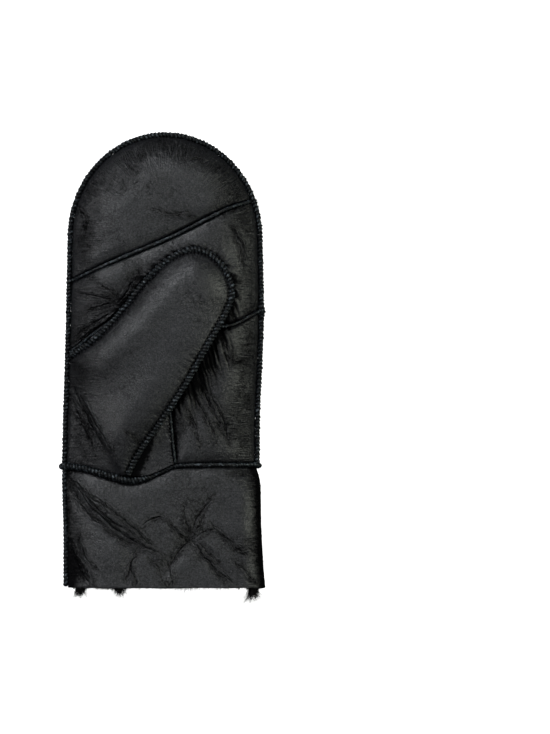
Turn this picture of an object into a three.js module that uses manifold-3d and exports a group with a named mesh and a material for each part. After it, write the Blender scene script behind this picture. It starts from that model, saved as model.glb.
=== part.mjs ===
// A left-hand shearling mitten, lying flat on its back with the palm and the thumb on top.
// It is sewn from leather panels with overcast seams that stand proud as welts, the wool
// inside, and the wool of the lining sticks out past the raw hem of the cuff.
// Millimetres. +X runs across the palm, +Y to the fingertips, +Z up from the surface below.

import * as THREE from "three";
import { mergeVertices } from "three/addons/utils/BufferGeometryUtils.js";
import Module from "manifold-3d";

// Lengths and widths of the leather, laid flat.
const cuffLength = 74; // hem to cuff seam
const handLength = 202.8; // cuff seam to the tip
const tipRise = 61.8; // height of the round end
const palmWidth = 114; // at the knuckles, without the side seam
const foldDepth = 14; // how far in the cuff's folded edge stays round

// Thicknesses of the filled-out mitten.
const palmThickness = 33;
const wristThickness = 27;
const cuffThickness = 28;
const seamHeight = 13; // side seam above the surface below
const palmRoll = 38; // width over which the palm rises from the side seam
const backRoll = 22; // the same for the back, down to its flat
const thumbHeight = 15; // level top of the thumb above the palm
const thumbRoll = 21; // width over which the thumb rises from its edge
const thumbDent = 2.5; // how far the thumb presses the palm in

// Materials and seams.
const leather = 1.6;
const pile = 4; // combed wool of the lining
const gap = 0.35; // clearance between neighbouring pieces
const weltWidth = 2.4; // overcast seam on the palm
const weltHeight = 2.2;
const thumbWeltWidth = 2.6;
const thumbWeltHeight = 3;
const sideWeltWidth = 2.8;
const sideWeltHeight = 4.4;
const grooveDepth = 1.8; // the leather dips this much into a seam
const grooveWidth = 5;
const lockLength = 8; // longest lock of wool past the hem
const foldBlend = 18; // length over which the cuff's section changes below its seam
const liningInset = 4; // lining from the leather's outline
const liningSlack = 3; // room over the lining for the leather's grooves and folds
const hemSlack = 0.8; // the same at the hem
const thumbHoleInset = 6; // opening of the lining inside the thumb's base

const halfPalm = palmWidth / 2;
const shoulder = cuffLength + handLength - tipRise;
const edgeStep = 0.85 * leather; // each wall starts this far from the side seam's mid-plane
const slotHalf = weltWidth / 2 + gap; // half the slot between two panels
const thumbDrop = 2.3 + 0.25 * leather; // underside of the thumb below its edge
const thumbLip = 0.7; // top of the thumb above its edge

// Half widths of the cuff, from the hem up to its seam, as shares of the palm's half width.
const cuffSides = [
  { up: 0, left: 1.049, right: 1.08 },
  { up: 0.46, left: 1.049, right: 1.043 },
  { up: 0.86, left: 1.063, right: 1.028 },
  { up: 1, left: 1.061, right: 0.985 },
];

// Half widths of the hand from the cuff seam to the shoulder, and how far its thickness has
// grown from the wrist's to the palm's.
const handSides = [
  { up: 0, left: 1.061, right: 0.97, full: 0 },
  { up: 0.22, left: 1.049, right: 0.974, full: 0.6 },
  { up: 0.51, left: 1.026, right: 1.005, full: 1 },
  { up: 0.7, left: 1.016, right: 1.016, full: 0.95 },
  { up: 1, left: 1, right: 1, full: 0.8 },
];

// Seam lines. across: share of the half width at that height. up: share of the hand's length
// above the cuff seam.
const fingertipLine = [
  { across: -1, up: 0.563 },
  { across: -0.49, up: 0.63 },
  { across: 0.065, up: 0.696 },
  { across: 0.66, up: 0.777 },
  { across: 1, up: 0.806 },
];
const middleLine = [
  { across: -1, up: 0.345 },
  { across: -0.71, up: 0.411 },
  { across: -0.4, up: 0.466 },
  { across: -0.05, up: 0.47 },
  { across: 0.35, up: 0.437 },
  { across: 0.67, up: 0.427 },
  { across: 1, up: 0.472 },
];

// The short seam beside the thumb. up: share of the way from the cuff seam to the middle seam.
const palmLine = [
  { up: 0, across: 0.114 },
  { up: 0.15, across: 0.086 },
  { up: 0.3, across: 0.065 },
  { up: 0.6, across: 0.02 },
  { up: 1, across: -0.02 },
];

// The cuff seam over the palm. drop: share of the cuff's length below its straight line.
const cuffLine = [
  { across: -1, drop: 0 },
  { across: -0.78, drop: 0.03 },
  { across: -0.58, drop: 0.08 },
  { across: -0.37, drop: 0.122 },
  { across: -0.2, drop: 0.1 },
  { across: -0.02, drop: 0.035 },
  { across: 0.11, drop: -0.008 },
  { across: 1, drop: -0.018 },
];

// The thumb's sewn edge, from the side seam round its tip to the cuff seam. across and up as
// above. lift: millimetres above the palm, highest where the edge stands off it.
const thumbLine = [
  { across: -1, up: 0.3276, lift: 2.6 },
  { across: -0.72, up: 0.3874, lift: 3 },
  { across: -0.428, up: 0.4735, lift: 3.2 },
  { across: -0.179, up: 0.5617, lift: 3.2 },
  { across: 0.087, up: 0.6281, lift: 3.4 },
  { across: 0.288, up: 0.6518, lift: 3.8 },
  { across: 0.443, up: 0.6431, lift: 4.4 },
  { across: 0.589, up: 0.6088, lift: 5.4 },
  { across: 0.678, up: 0.5654, lift: 6.5 },
  { across: 0.702, up: 0.52, lift: 8 },
  { across: 0.633, up: 0.4657, lift: 9.5 },
  { across: 0.433, up: 0.3664, lift: 10.5 },
  { across: 0.195, up: 0.2476, lift: 9.5 },
  { across: -0.064, up: 0.1385, lift: 7 },
  { across: -0.281, up: 0.0529, lift: 4.5 },
  { across: -0.42, up: -0.0217, lift: 3 },
];

// Main folds and dents of the leather. across: share of the palm's half width. along: share of
// the whole length. turn: degrees from +X. reach, width and depth in shares of the cuff's
// length, the fold's own half lengths across and along it. A negative depth is a ridge.
const folds = [
  { name: "cuff diagonal", across: -0.53, along: 0.139, turn: -44, reach: 0.42, width: 0.055, depth: 0.026 },
  { name: "cuff diagonal ridge", across: -0.4, along: 0.165, turn: -44, reach: 0.4, width: 0.07, depth: -0.014 },
  { name: "cuff star, falling", across: 0.42, along: 0.072, turn: -47, reach: 0.3, width: 0.05, depth: 0.022 },
  { name: "cuff star, rising", across: 0.12, along: 0.075, turn: 55, reach: 0.26, width: 0.05, depth: 0.02 },
  { name: "cuff edge", across: -0.92, along: 0.045, turn: -70, reach: 0.3, width: 0.06, depth: 0.022 },
  { name: "thumb root", across: -0.84, along: 0.36, turn: -58, reach: 0.42, width: 0.06, depth: 0.022 },
  { name: "thumb crotch", across: -0.55, along: 0.615, turn: 38, reach: 0.26, width: 0.08, depth: 0.024 },
  { name: "under the thumb", across: 0.48, along: 0.41, turn: 60, reach: 0.5, width: 0.14, depth: 0.028 },
  { name: "tip wrinkle", across: -0.62, along: 0.86, turn: 40, reach: 0.3, width: 0.06, depth: 0.014 },
];

// Locks of wool at the hem: where round the mouth, as a share from the left seam over the
// palm and back under, how wide, and how long as a share of the longest.
const locks = [
  { round: 0.04, width: 0.03, length: 0.95 },
  { round: 0.15, width: 0.02, length: 0.75 },
  { round: 0.3, width: 0.03, length: 0.25 },
  { round: 0.43, width: 0.025, length: 1 },
  { round: 0.6, width: 0.04, length: 0.5 },
  { round: 0.72, width: 0.04, length: 0.7 },
  { round: 0.86, width: 0.05, length: 0.45 },
];

const clamp = (t) => Math.min(1, Math.max(0, t));
const mix = (a, b, t) => a + (b - a) * t;
const smooth = (t) => clamp(t) ** 2 * (3 - 2 * clamp(t));

// Rises from 0 to 1 over t = 0 to 1, steep at first; it runs on straight below 0.
const dome = (t, power) => (t < 0 ? power * t : 1 - (1 - clamp(t)) ** power);

// The value in a table's column at key = at, on a smooth curve through its rows.
function read(rows, key, column, at) {
  const last = rows.length - 1;
  let i = 0;
  while (i < last - 1 && at > rows[i + 1][key]) i += 1;
  const slope = (j) => {
    const a = rows[Math.max(0, j - 1)];
    const b = rows[Math.min(last, j + 1)];
    return (b[column] - a[column]) / (b[key] - a[key]);
  };
  const span = rows[i + 1][key] - rows[i][key];
  const t = clamp((at - rows[i][key]) / span);
  const rise = rows[i + 1][column] - rows[i][column];
  const bend = t * (1 - t) * span;
  const eased = rows[i][column] + rise * smooth(t);
  return eased + bend * (slope(i) * (1 - t) - slope(i + 1) * t);
}

// Where the leather's outline is at height y, as a half width on one side.
function halfWidth(y, side) {
  if (y <= cuffLength) return halfPalm * read(cuffSides, "up", side, clamp(y / cuffLength));
  const up = (y - cuffLength) / (shoulder - cuffLength);
  if (up <= 1) return halfPalm * read(handSides, "up", side, up);
  return halfPalm * Math.sqrt(Math.max(0, 1 - ((y - shoulder) / tipRise) ** 2));
}

const edgeX = (y, across) => across * halfWidth(y, across < 0 ? "left" : "right");
const heightAt = (up) => cuffLength + handLength * up;

// The whole outline, from below the hem up the left side, round the tip and down the right.
function traceOutline() {
  const points = [];
  const low = -cuffLength;
  const sideSteps = 44;
  const tipSteps = 40;
  for (let i = 0; i < sideSteps; i += 1) {
    const y = mix(low, shoulder, i / sideSteps);
    points.push(new THREE.Vector2(-halfWidth(y, "left"), y));
  }
  for (let i = 0; i <= tipSteps; i += 1) {
    const turn = (Math.PI * i) / tipSteps;
    points.push(new THREE.Vector2(-halfPalm * Math.cos(turn), shoulder + tipRise * Math.sin(turn)));
  }
  for (let i = 1; i <= sideSteps; i += 1) {
    const y = mix(shoulder, low, i / sideSteps);
    points.push(new THREE.Vector2(halfWidth(y, "right"), y));
  }
  return points;
}

const outline = traceOutline();

// Distance from a point to a chain of points, and the place of the nearest point on it.
function nearest(chain, x, y) {
  let best = { distance: Infinity, index: 0, share: 0 };
  for (let i = 0; i + 1 < chain.length; i += 1) {
    const a = chain[i];
    const b = chain[i + 1];
    const dx = b.x - a.x;
    const dy = b.y - a.y;
    const share = clamp(((x - a.x) * dx + (y - a.y) * dy) / (dx * dx + dy * dy || 1));
    const distance = Math.hypot(x - a.x - share * dx, y - a.y - share * dy);
    if (distance < best.distance) best = { distance, index: i, share };
  }
  return best;
}

// Distance to a chain that closes on itself, positive inside.
function inward(chain, x, y) {
  const closed = [...chain, chain[0]];
  let inside = false;
  for (let i = 0; i + 1 < closed.length; i += 1) {
    const a = closed[i];
    const b = closed[i + 1];
    if (a.y > y !== b.y > y && x < a.x + ((b.x - a.x) * (y - a.y)) / (b.y - a.y)) inside = !inside;
  }
  return nearest(closed, x, y).distance * (inside ? 1 : -1);
}

const fromSide = (x, y) => {
  const inside = y < shoulder + tipRise && x > -halfWidth(y, "left") && x < halfWidth(y, "right");
  return nearest(outline, x, y).distance * (inside ? 1 : -1);
};

// A seam table as points across the palm, with the panel's edge a little above or below it.
function seamPoints(rows, steps, offset) {
  const points = [];
  for (let i = 0; i <= steps; i += 1) {
    const across = mix(-1, 1, i / steps);
    const y = heightAt(read(rows, "across", "up", across));
    points.push(new THREE.Vector2(edgeX(y, across), y));
  }
  return shifted(points, offset);
}

// Every point moved up by the distance that puts the chain that far to its side; its ends stay
// on the outline.
function shifted(points, offset) {
  return points.map((p, i) => {
    const a = points[Math.max(0, i - 1)];
    const b = points[Math.min(points.length - 1, i + 1)];
    const rise = (b.y - a.y) / (b.x - a.x);
    const y = p.y + offset * Math.hypot(1, rise);
    const ends = i === 0 || i === points.length - 1;
    return new THREE.Vector2(ends ? edgeX(y, Math.sign(p.x)) : p.x, y);
  });
}

const cuffSeamY = (across) => cuffLength * (1 - read(cuffLine, "across", "drop", across));

function cuffSeamPoints(steps, offset) {
  const points = [];
  for (let i = 0; i <= steps; i += 1) {
    const across = mix(-1, 1, i / steps);
    const y = cuffSeamY(across);
    points.push(new THREE.Vector2(edgeX(y, across), y));
  }
  return shifted(points, offset);
}

// The y of a chain that runs across the palm, at x.
function chainY(chain, x) {
  let i = 0;
  while (i < chain.length - 2 && x > chain[i + 1].x) i += 1;
  const a = chain[i];
  const b = chain[i + 1];
  return mix(a.y, b.y, clamp((x - a.x) / (b.x - a.x)));
}

const fingertipSeam = seamPoints(fingertipLine, 24, 0);
const middleSeam = seamPoints(middleLine, 28, 0);
const cuffSeam = cuffSeamPoints(28, 0);

// The short seam beside the thumb, from the cuff seam up to the middle seam.
function palmSeamPoints(steps, offset, low, high) {
  const points = [];
  for (let i = 0; i <= steps; i += 1) {
    const up = i / steps;
    const x = halfPalm * read(palmLine, "up", "across", up) + offset;
    points.push(new THREE.Vector2(x, mix(chainY(cuffSeam, x) + low, chainY(middleSeam, x) - high, up)));
  }
  return points;
}

const palmSeam = palmSeamPoints(10, 0, 0, 0);

// The thumb's edge as a smooth curve in plan, with its lift as the third coordinate.
const thumbEdge = new THREE.CatmullRomCurve3(
  thumbLine.map((row) => {
    const y = heightAt(row.up);
    const x = row.across === -1 ? edgeX(y, -1) : halfPalm * row.across;
    return new THREE.Vector3(x, y, row.lift);
  }),
);
const thumbEdgePoints = thumbEdge.getSpacedPoints(90);

// The thumb and its base in plan: the sewn edge, the cuff seam and the side seam.
function thumbBoundary(steps) {
  const edge = thumbEdge.getSpacedPoints(steps).map((p) => ({ x: p.x, y: p.y, lift: p.z }));
  const end = edge[edge.length - 1];
  const low = cuffSeamPoints(28, slotHalf).filter((p) => p.x < end.x - 3);
  const bottom = low.filter((p, i) => i % 2 === 0).reverse();
  const side = [];
  const sideSteps = 8;
  const foot = low[0].y;
  for (let i = 1; i < sideSteps; i += 1) {
    const y = mix(foot, edge[0].y, i / sideSteps);
    side.push(new THREE.Vector2(-halfWidth(y, "left"), y));
  }
  return { edge, bottom, side };
}

const thumbPlan = (() => {
  const { edge, bottom, side } = thumbBoundary(40);
  return [...edge, ...bottom, ...side].map((p) => new THREE.Vector2(p.x, p.y));
})();

function thickness(y) {
  if (y < cuffLength) return mix(cuffThickness, wristThickness, smooth(y / cuffLength));
  const up = Math.min(1, (y - cuffLength) / (shoulder - cuffLength));
  return mix(wristThickness, palmThickness, read(handSides, "up", "full", up));
}

// Share of the round, folded section at the cuff's right edge: none at its seam, whole below.
const foldShare = (y) => smooth((cuffLength - y) / foldBlend);
const foldRound = (x, y) => {
  const t = clamp((halfWidth(y, "right") - x) / foldDepth);
  return Math.sqrt(1 - (1 - t) ** 2);
};

// Height of the palm side, without grooves, folds or the thumb's dent.
function topSmooth(x, y) {
  const rise = thickness(y) - seamHeight;
  const sewn = edgeStep + (rise - edgeStep) * dome(fromSide(x, y) / palmRoll, 3);
  if (y >= cuffLength) return seamHeight + sewn;
  const fromLeft = dome((x + halfWidth(y, "left")) / palmRoll, 3);
  const folded = x < 0 ? edgeStep + (rise - edgeStep) * fromLeft : rise * foldRound(x, y);
  return seamHeight + mix(sewn, folded, foldShare(y));
}

function bottomSmooth(x, y) {
  const sewn = (seamHeight - edgeStep) * (1 - dome(fromSide(x, y) / backRoll, 2));
  if (y >= cuffLength) return Math.max(0, sewn);
  const fromLeft = dome((x + halfWidth(y, "left")) / backRoll, 2);
  const folded = x < 0 ? (seamHeight - edgeStep) * (1 - fromLeft) : seamHeight * (1 - foldRound(x, y));
  return Math.max(0, mix(sewn, folded, foldShare(y)));
}

const fromEdges = (x, y, width) => clamp(fromSide(x, y) / width);
const dentUnderThumb = (x, y, margin) => thumbDent * smooth((inward(thumbPlan, x, y) + margin) / 12);
const palmSmooth = (x, y) => topSmooth(x, y) - dentUnderThumb(x, y, 4) * fromEdges(x, y, palmRoll);

const groove = (distance) => grooveDepth * Math.exp(-((distance / grooveWidth) ** 2));
const grooves = (x, y) =>
  Math.max(...[fingertipSeam, middleSeam, cuffSeam, palmSeam].map((s) => groove(nearest(s, x, y).distance))) *
  fromEdges(x, y, 8);

// Depth of the leather's folds at a point of the palm side.
function foldDepthAt(x, y) {
  let depth = 0;
  for (const f of folds) {
    const turn = THREE.MathUtils.degToRad(f.turn);
    const dx = x - f.across * halfPalm;
    const dy = y - f.along * (cuffLength + handLength);
    const along = (dx * Math.cos(turn) + dy * Math.sin(turn)) / (f.reach * cuffLength);
    const aside = (dy * Math.cos(turn) - dx * Math.sin(turn)) / (f.width * cuffLength);
    depth += f.depth * cuffLength * Math.exp(-(along ** 4) - aside ** 2);
  }
  return depth * fromEdges(x, y, 8);
}

const deeper = (a, b) => (b > 0 ? Math.max(a, b) : a + b);
const palmTop = (x, y) => palmSmooth(x, y) - deeper(grooves(x, y), foldDepthAt(x, y));
const cuffTop = (x, y) => {
  const dip = groove(nearest(cuffSeam, x, y).distance) * fromEdges(x, y, 8);
  return topSmooth(x, y) - deeper(dip, foldDepthAt(x, y));
};
const backBottom = (x, y) => {
  const open = clamp(1 - bottomSmooth(x, y) / grooveDepth);
  return bottomSmooth(x, y) + open * groove(y - cuffLength);
};

// The lining's own height functions keep clear of grooves and folds.
const slack = (x, y) => mix(hemSlack, liningSlack, smooth((4 * y) / cuffLength)) * fromEdges(x, y, 6);
const backSlack = (x, y) => mix(grooveDepth, hemSlack, clamp(Math.abs(y - cuffLength) / (4 * grooveWidth)));
const liningTop = (x, y) =>
  topSmooth(x, y) - slack(x, y) - 1.65 * dentUnderThumb(x, y, 16) * fromEdges(x, y, palmRoll);
const liningBottom = (x, y) => bottomSmooth(x, y) + backSlack(x, y) * fromEdges(x, y, 6);

// The thumb's top: its boundary's heights spread inwards, with a crown on them.
const thumbRim = (() => {
  const { edge, bottom, side } = thumbBoundary(60);
  const lip = leather / 2;
  const low = thumbLine[thumbLine.length - 1].lift;
  return [
    ...edge.map((p) => ({ x: p.x, y: p.y, z: palmSmooth(p.x, p.y) + p.lift + thumbLip, lift: p.lift })),
    ...bottom.map((p) => ({ x: p.x, y: p.y, z: palmTop(p.x, p.y) + lip, lift: low })),
    ...side.map((p) => ({ x: p.x, y: p.y, z: seamHeight + edgeStep, lift: low })),
  ];
})();

function thumbTop(x, y) {
  let weight = 0;
  let sum = 0;
  let lift = 0;
  for (const p of thumbRim) {
    const w = 1 / (Math.hypot(x - p.x, y - p.y) + 0.05) ** 3;
    weight += w;
    sum += w * p.z;
    lift += w * p.lift;
  }
  const crown = thumbHeight - lift / weight;
  const fromEdge = dome(inward(thumbPlan, x, y) / thumbRoll, 2.5);
  const fromWrist = smooth((y - chainY(cuffSeam, x) + 4) / (0.25 * handLength));
  const dents = foldDepthAt(x, y) * clamp(inward(thumbPlan, x, y) / 8);
  return sum / weight + crown * fromEdge * mix(0.35, 1, fromWrist) - dents;
}

// Outward normal of a height function; up is 1 for a palm side and -1 for a back.
function slopeNormal(height, x, y, up) {
  const step = 0.4;
  const dx = (height(x + step, y) - height(x - step, y)) / (2 * step);
  const dy = (height(x, y + step) - height(x, y - step)) / (2 * step);
  return new THREE.Vector3(-dx, -dy, 1).normalize().multiplyScalar(up);
}

// A closed body from two faces of the same triangles: the outer one, and the inner one turned
// round, joined along the boundary, which is the first loop of points.
function bodyFrom(outer, inner, triangles, loop) {
  const count = outer.length;
  const position = [...outer, ...inner].flatMap((p) => [p.x, p.y, p.z]);
  const index = [];
  for (const [a, b, c] of triangles) {
    index.push(a, b, c, count + a, count + c, count + b);
  }
  for (let i = 0; i < loop.length; i += 1) {
    const a = loop[i];
    const b = loop[(i + 1) % loop.length];
    index.push(a, count + a, b, b, count + a, count + b);
  }
  const body = new THREE.BufferGeometry();
  body.setAttribute("position", new THREE.Float32BufferAttribute(position, 3));
  body.setIndex(index);
  return facingOut(body);
}

// The same body with its faces pointing out.
function facingOut(body) {
  const at = body.getAttribute("position");
  const index = body.index.array;
  const [a, b, c] = [new THREE.Vector3(), new THREE.Vector3(), new THREE.Vector3()];
  let volume = 0;
  for (let i = 0; i < index.length; i += 3) {
    a.fromBufferAttribute(at, index[i]);
    b.fromBufferAttribute(at, index[i + 1]);
    c.fromBufferAttribute(at, index[i + 2]);
    volume += a.dot(b.cross(c));
  }
  if (volume < 0) {
    for (let i = 0; i < index.length; i += 3) [index[i + 1], index[i + 2]] = [index[i + 2], index[i + 1]];
  }
  return body;
}

// A chain of points spaced evenly.
function respaced(points, spacing) {
  const lengths = [0];
  for (let i = 1; i < points.length; i += 1) {
    lengths.push(lengths[i - 1] + points[i].distanceTo(points[i - 1]));
  }
  const total = lengths[lengths.length - 1];
  const count = Math.max(2, Math.round(total / spacing));
  const made = [];
  for (let i = 0, j = 0; i <= count; i += 1) {
    const at = (total * i) / count;
    while (j < lengths.length - 2 && lengths[j + 1] < at) j += 1;
    made.push(points[j].clone().lerp(points[j + 1], (at - lengths[j]) / (lengths[j + 1] - lengths[j])));
  }
  return made;
}

// A leather panel: rings of points from its boundary in to a spine, laid on a height function,
// with the wall's thickness along the normal.
const ringShares = [0, 0.07, 0.2, 0.42, 0.7];

function panel(chains, spine, height, up, spacing) {
  const boundary = chains.flatMap((chain) => respaced(chain, spacing).slice(0, -1));
  const middle = respaced(spine, 1.3 * spacing);
  const nearby = boundary.map((p) => nearest(middle, p.x, p.y));
  const plan = [];
  for (const share of ringShares) {
    boundary.forEach((p, i) => {
      const { index, share: part } = nearby[i];
      plan.push(p.clone().lerp(middle[index].clone().lerp(middle[index + 1], part), share));
    });
  }
  plan.push(...middle);
  const n = boundary.length;
  const triangles = [];
  for (let ring = 0; ring + 1 < ringShares.length; ring += 1) {
    for (let i = 0; i < n; i += 1) {
      const a = ring * n + i;
      const b = ring * n + ((i + 1) % n);
      triangles.push([a, b, a + n], [b, b + n, a + n]);
    }
  }
  const start = (ringShares.length - 1) * n;
  const onSpine = nearby.map(({ index, share }) => start + n + index + Math.round(share));
  for (let i = 0; i < n; i += 1) {
    const b = start + ((i + 1) % n);
    const last = onSpine[(i + 1) % n];
    triangles.push([start + i, b, onSpine[i]]);
    const step = Math.sign(last - onSpine[i]);
    for (let k = onSpine[i]; k !== last; k += step) triangles.push([b, k + step, k]);
  }
  const outer = plan.map((p) => new THREE.Vector3(p.x, p.y, height(p.x, p.y)));
  const inner = outer.map((p) => p.clone().addScaledVector(slopeNormal(height, p.x, p.y, up), -leather));
  return bodyFrom(outer, inner, triangles, [...Array(n).keys()]);
}

// A sheet from a function of two shares, with the wall on the side away from its normal.
function sheet(place, acrossSteps, alongSteps, wall) {
  const outer = [];
  const inner = [];
  const step = 0.003;
  for (let j = 0; j <= alongSteps; j += 1) {
    for (let i = 0; i <= acrossSteps; i += 1) {
      const u = i / acrossSteps;
      const v = j / alongSteps;
      const here = place(u, v);
      const alongU = place(Math.min(1, u + step), v).sub(place(Math.max(0, u - step), v));
      const alongV = place(u, Math.min(1, v + step)).sub(place(u, Math.max(0, v - step)));
      outer.push(here);
      inner.push(here.clone().addScaledVector(alongU.cross(alongV).normalize(), -wall));
    }
  }
  const row = acrossSteps + 1;
  const triangles = [];
  for (let j = 0; j < alongSteps; j += 1) {
    for (let i = 0; i < acrossSteps; i += 1) {
      const a = j * row + i;
      triangles.push([a, a + 1, a + row], [a + 1, a + row + 1, a + row]);
    }
  }
  const loop = [];
  for (let i = 0; i < acrossSteps; i += 1) loop.push(i);
  for (let j = 0; j < alongSteps; j += 1) loop.push(j * row + acrossSteps);
  for (let i = acrossSteps; i > 0; i -= 1) loop.push(alongSteps * row + i);
  for (let j = alongSteps; j > 0; j -= 1) loop.push(j * row);
  return bodyFrom(outer, inner, triangles, loop);
}

// A seam welt: a five-sided oval carried along a path, with its height along each point's up.
function welt(points, ups, width, height, closed) {
  const sides = 5;
  const position = [];
  const count = points.length;
  for (let i = 0; i < count; i += 1) {
    const before = points[closed ? (i + count - 1) % count : Math.max(0, i - 1)];
    const after = points[closed ? (i + 1) % count : Math.min(count - 1, i + 1)];
    const along = after.clone().sub(before).normalize();
    const aside = along.clone().cross(ups[i]).normalize();
    const up = aside.clone().cross(along).normalize();
    for (let k = 0; k < sides; k += 1) {
      const turn = Math.PI / 2 + (2 * Math.PI * k) / sides;
      const p = points[i].clone();
      p.addScaledVector(aside, ((width / 2) * Math.cos(turn)) / Math.cos(Math.PI / 10));
      p.addScaledVector(up, (height / 2) * Math.sin(turn));
      position.push(p.x, p.y, p.z);
    }
  }
  const index = [];
  const spans = closed ? count : count - 1;
  for (let i = 0; i < spans; i += 1) {
    for (let k = 0; k < sides; k += 1) {
      const a = i * sides + k;
      const b = i * sides + ((k + 1) % sides);
      const c = ((i + 1) % count) * sides + k;
      const d = ((i + 1) % count) * sides + ((k + 1) % sides);
      index.push(a, b, c, b, d, c);
    }
  }
  if (!closed) {
    const end = (count - 1) * sides;
    for (let k = 1; k + 1 < sides; k += 1) index.push(0, k + 1, k, end, end + k, end + k + 1);
  }
  const body = new THREE.BufferGeometry();
  body.setAttribute("position", new THREE.Float32BufferAttribute(position, 3));
  body.setIndex(index);
  return facingOut(body);
}

// A chain without the stretch at each end that lies within a distance of that end.
function trimmed(points, start, end) {
  const first = points[0];
  const last = points[points.length - 1];
  return points.filter((p) => p.distanceTo(first) > start && p.distanceTo(last) > end);
}

// The stretch of the outline between two heights, over the tip.
function outlineOver(leftY, rightY, out) {
  const made = [];
  for (let i = 1; i + 1 < outline.length; i += 1) {
    const p = outline[i];
    const low = p.x < 0 ? leftY : rightY;
    if (p.y <= low) continue;
    const along = outline[i + 1].clone().sub(outline[i - 1]).normalize();
    made.push(new THREE.Vector2(p.x - along.y * out, p.y + along.x * out));
  }
  return made;
}

// The stretch of one side between two heights, in that order.
function sideStretch(side, from, to) {
  const sign = side === "left" ? -1 : 1;
  const steps = 16;
  return [...Array(steps + 1).keys()].map((i) => {
    const y = mix(from, to, i / steps);
    return new THREE.Vector2(sign * halfWidth(y, side), y);
  });
}

const ends = (chain) => [chain[0], chain[chain.length - 1]];
const v2 = (across, up) => new THREE.Vector2(halfPalm * across, heightAt(up));
const lifted = (points, height) => points.map((p) => new THREE.Vector3(p.x, p.y, height(p.x, p.y)));

const panelSpacing = 7.5;

function fingertipPanel() {
  const low = seamPoints(fingertipLine, 24, slotHalf);
  const [left, right] = ends(low);
  const over = [left, ...outlineOver(left.y + 1, right.y + 1, 0), right].reverse();
  const spine = [v2(-0.3, 0.74), v2(0.15, 0.84)];
  return panel([low, over], spine, palmTop, 1, panelSpacing);
}

function middlePanel() {
  const high = seamPoints(fingertipLine, 24, -slotHalf).reverse();
  const low = seamPoints(middleLine, 28, slotHalf);
  const left = sideStretch("left", high[high.length - 1].y, low[0].y);
  const right = sideStretch("right", low[low.length - 1].y, high[0].y);
  const spine = [v2(-0.75, 0.48), v2(-0.1, 0.57), v2(0.75, 0.63)];
  return panel([low, right, high, left], spine, palmTop, 1, panelSpacing);
}

function lowerPalmPanel() {
  const inner = palmSeamPoints(10, slotHalf, slotHalf, slotHalf).reverse();
  const start = inner[inner.length - 1];
  const low = [start, ...cuffSeamPoints(28, slotHalf).filter((p) => p.x > start.x + 1)];
  const top = inner[0];
  const high = [top, ...seamPoints(middleLine, 28, -slotHalf).filter((p) => p.x > top.x + 1)].reverse();
  const right = sideStretch("right", low[low.length - 1].y, high[0].y);
  const spine = [v2(0.52, 0.09), v2(0.5, 0.37)];
  return panel([low, right, high, inner], spine, palmTop, 1, panelSpacing);
}

function thumbOuter() {
  const { edge, bottom, side } = thumbBoundary(60);
  const free = edge.map((p) => new THREE.Vector2(p.x, p.y));
  const low = [free[free.length - 1], ...bottom];
  const left = [bottom[bottom.length - 1], ...side, free[0]];
  const spine = [v2(-0.78, 0.07), v2(-0.45, 0.25), v2(0.38, 0.54)];
  return panel([free, low, left], spine, thumbTop, 1, 0.8 * panelSpacing);
}

// Underside of the thumb, with the corner of it that shows beside the palm seam. It starts at
// the rim of the thumb's opening, stands up past the seam and runs out to the thumb's edge.
function thumbInner() {
  const up = palmSeamPoints(20, -slotHalf, slotHalf + 3 * gap, slotHalf);
  const corner = up[up.length - 1];
  const back = seamPoints(middleLine, 40, -slotHalf).filter((p) => p.x < corner.x - 1 && p.x > -halfPalm * 0.6);
  const rim = respaced([...up, ...back.reverse()], 2);
  const foot = cuffSeamPoints(28, slotHalf + 2 * gap);
  const endShare = 0.89;
  const flange = 1 / 6;
  const at = (v) => rim[Math.min(rim.length - 1, Math.round(v * (rim.length - 1) * 1))];
  const between = (v) => {
    const place = v * (rim.length - 1);
    const i = Math.min(rim.length - 2, Math.floor(place));
    return rim[i].clone().lerp(at((i + 1) / (rim.length - 1)), place - i);
  };
  const place = (u, v) => {
    const start = between(v);
    const edge = thumbEdge.getPointAt(1 - endShare * v);
    const along = thumbEdge.getTangentAt(1 - endShare * v);
    const inset = gap / Math.hypot(along.x, along.y);
    edge.x += along.y * inset;
    edge.y -= along.x * inset;
    const out = clamp((u - flange) / (1 - flange));
    const x = mix(start.x, edge.x, out);
    const straight = mix(start.y, edge.y, out);
    const y = mix(straight, chainY(foot, x) + gap, clamp(1 - v / 0.12) * (1 - out ** 3));
    const stand = out > 0 ? mix(0.7, edge.z - thumbDrop, out) : mix(-grooveDepth - 0.6, 0.7, u / flange);
    return new THREE.Vector3(x, y, palmSmooth(x, y) + stand);
  };
  return sheet((u, v) => place(1 - u, v), 6, 40, leather);
}

function backPanel() {
  const low = cuffLength + slotHalf;
  const over = [
    ...sideStretch("left", low, low + 2),
    ...outlineOver(low + 3, low + 3, 0),
    ...sideStretch("right", low + 2, low),
  ];
  const bottom = [over[over.length - 1], over[0]];
  const spine = [v2(0, 0.18), v2(0, 0.78)];
  return panel([over, bottom], spine, backBottom, -1, 1.3 * panelSpacing);
}

// One strip of leather wrapped round the wrist: from the side seam over the palm side, round
// the folded right edge and back under. v runs from the hem to the cuff seam.
function cuff() {
  const place = (u, v) => {
    const over = u <= 0.5;
    const share = (1 - Math.cos(2 * Math.PI * u)) / 2;
    const seamTop = (across) => cuffSeamY(across) - slotHalf * 1.3;
    const seam = over ? seamTop(mix(-1, 1, share)) : cuffLength - slotHalf;
    const y = seam * v;
    const x = mix(-halfWidth(y, "left"), halfWidth(y, "right"), share);
    return new THREE.Vector3(x, y, over ? cuffTop(x, y) : backBottom(x, y));
  };
  return sheet(place, 36, 7, leather);
}

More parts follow.
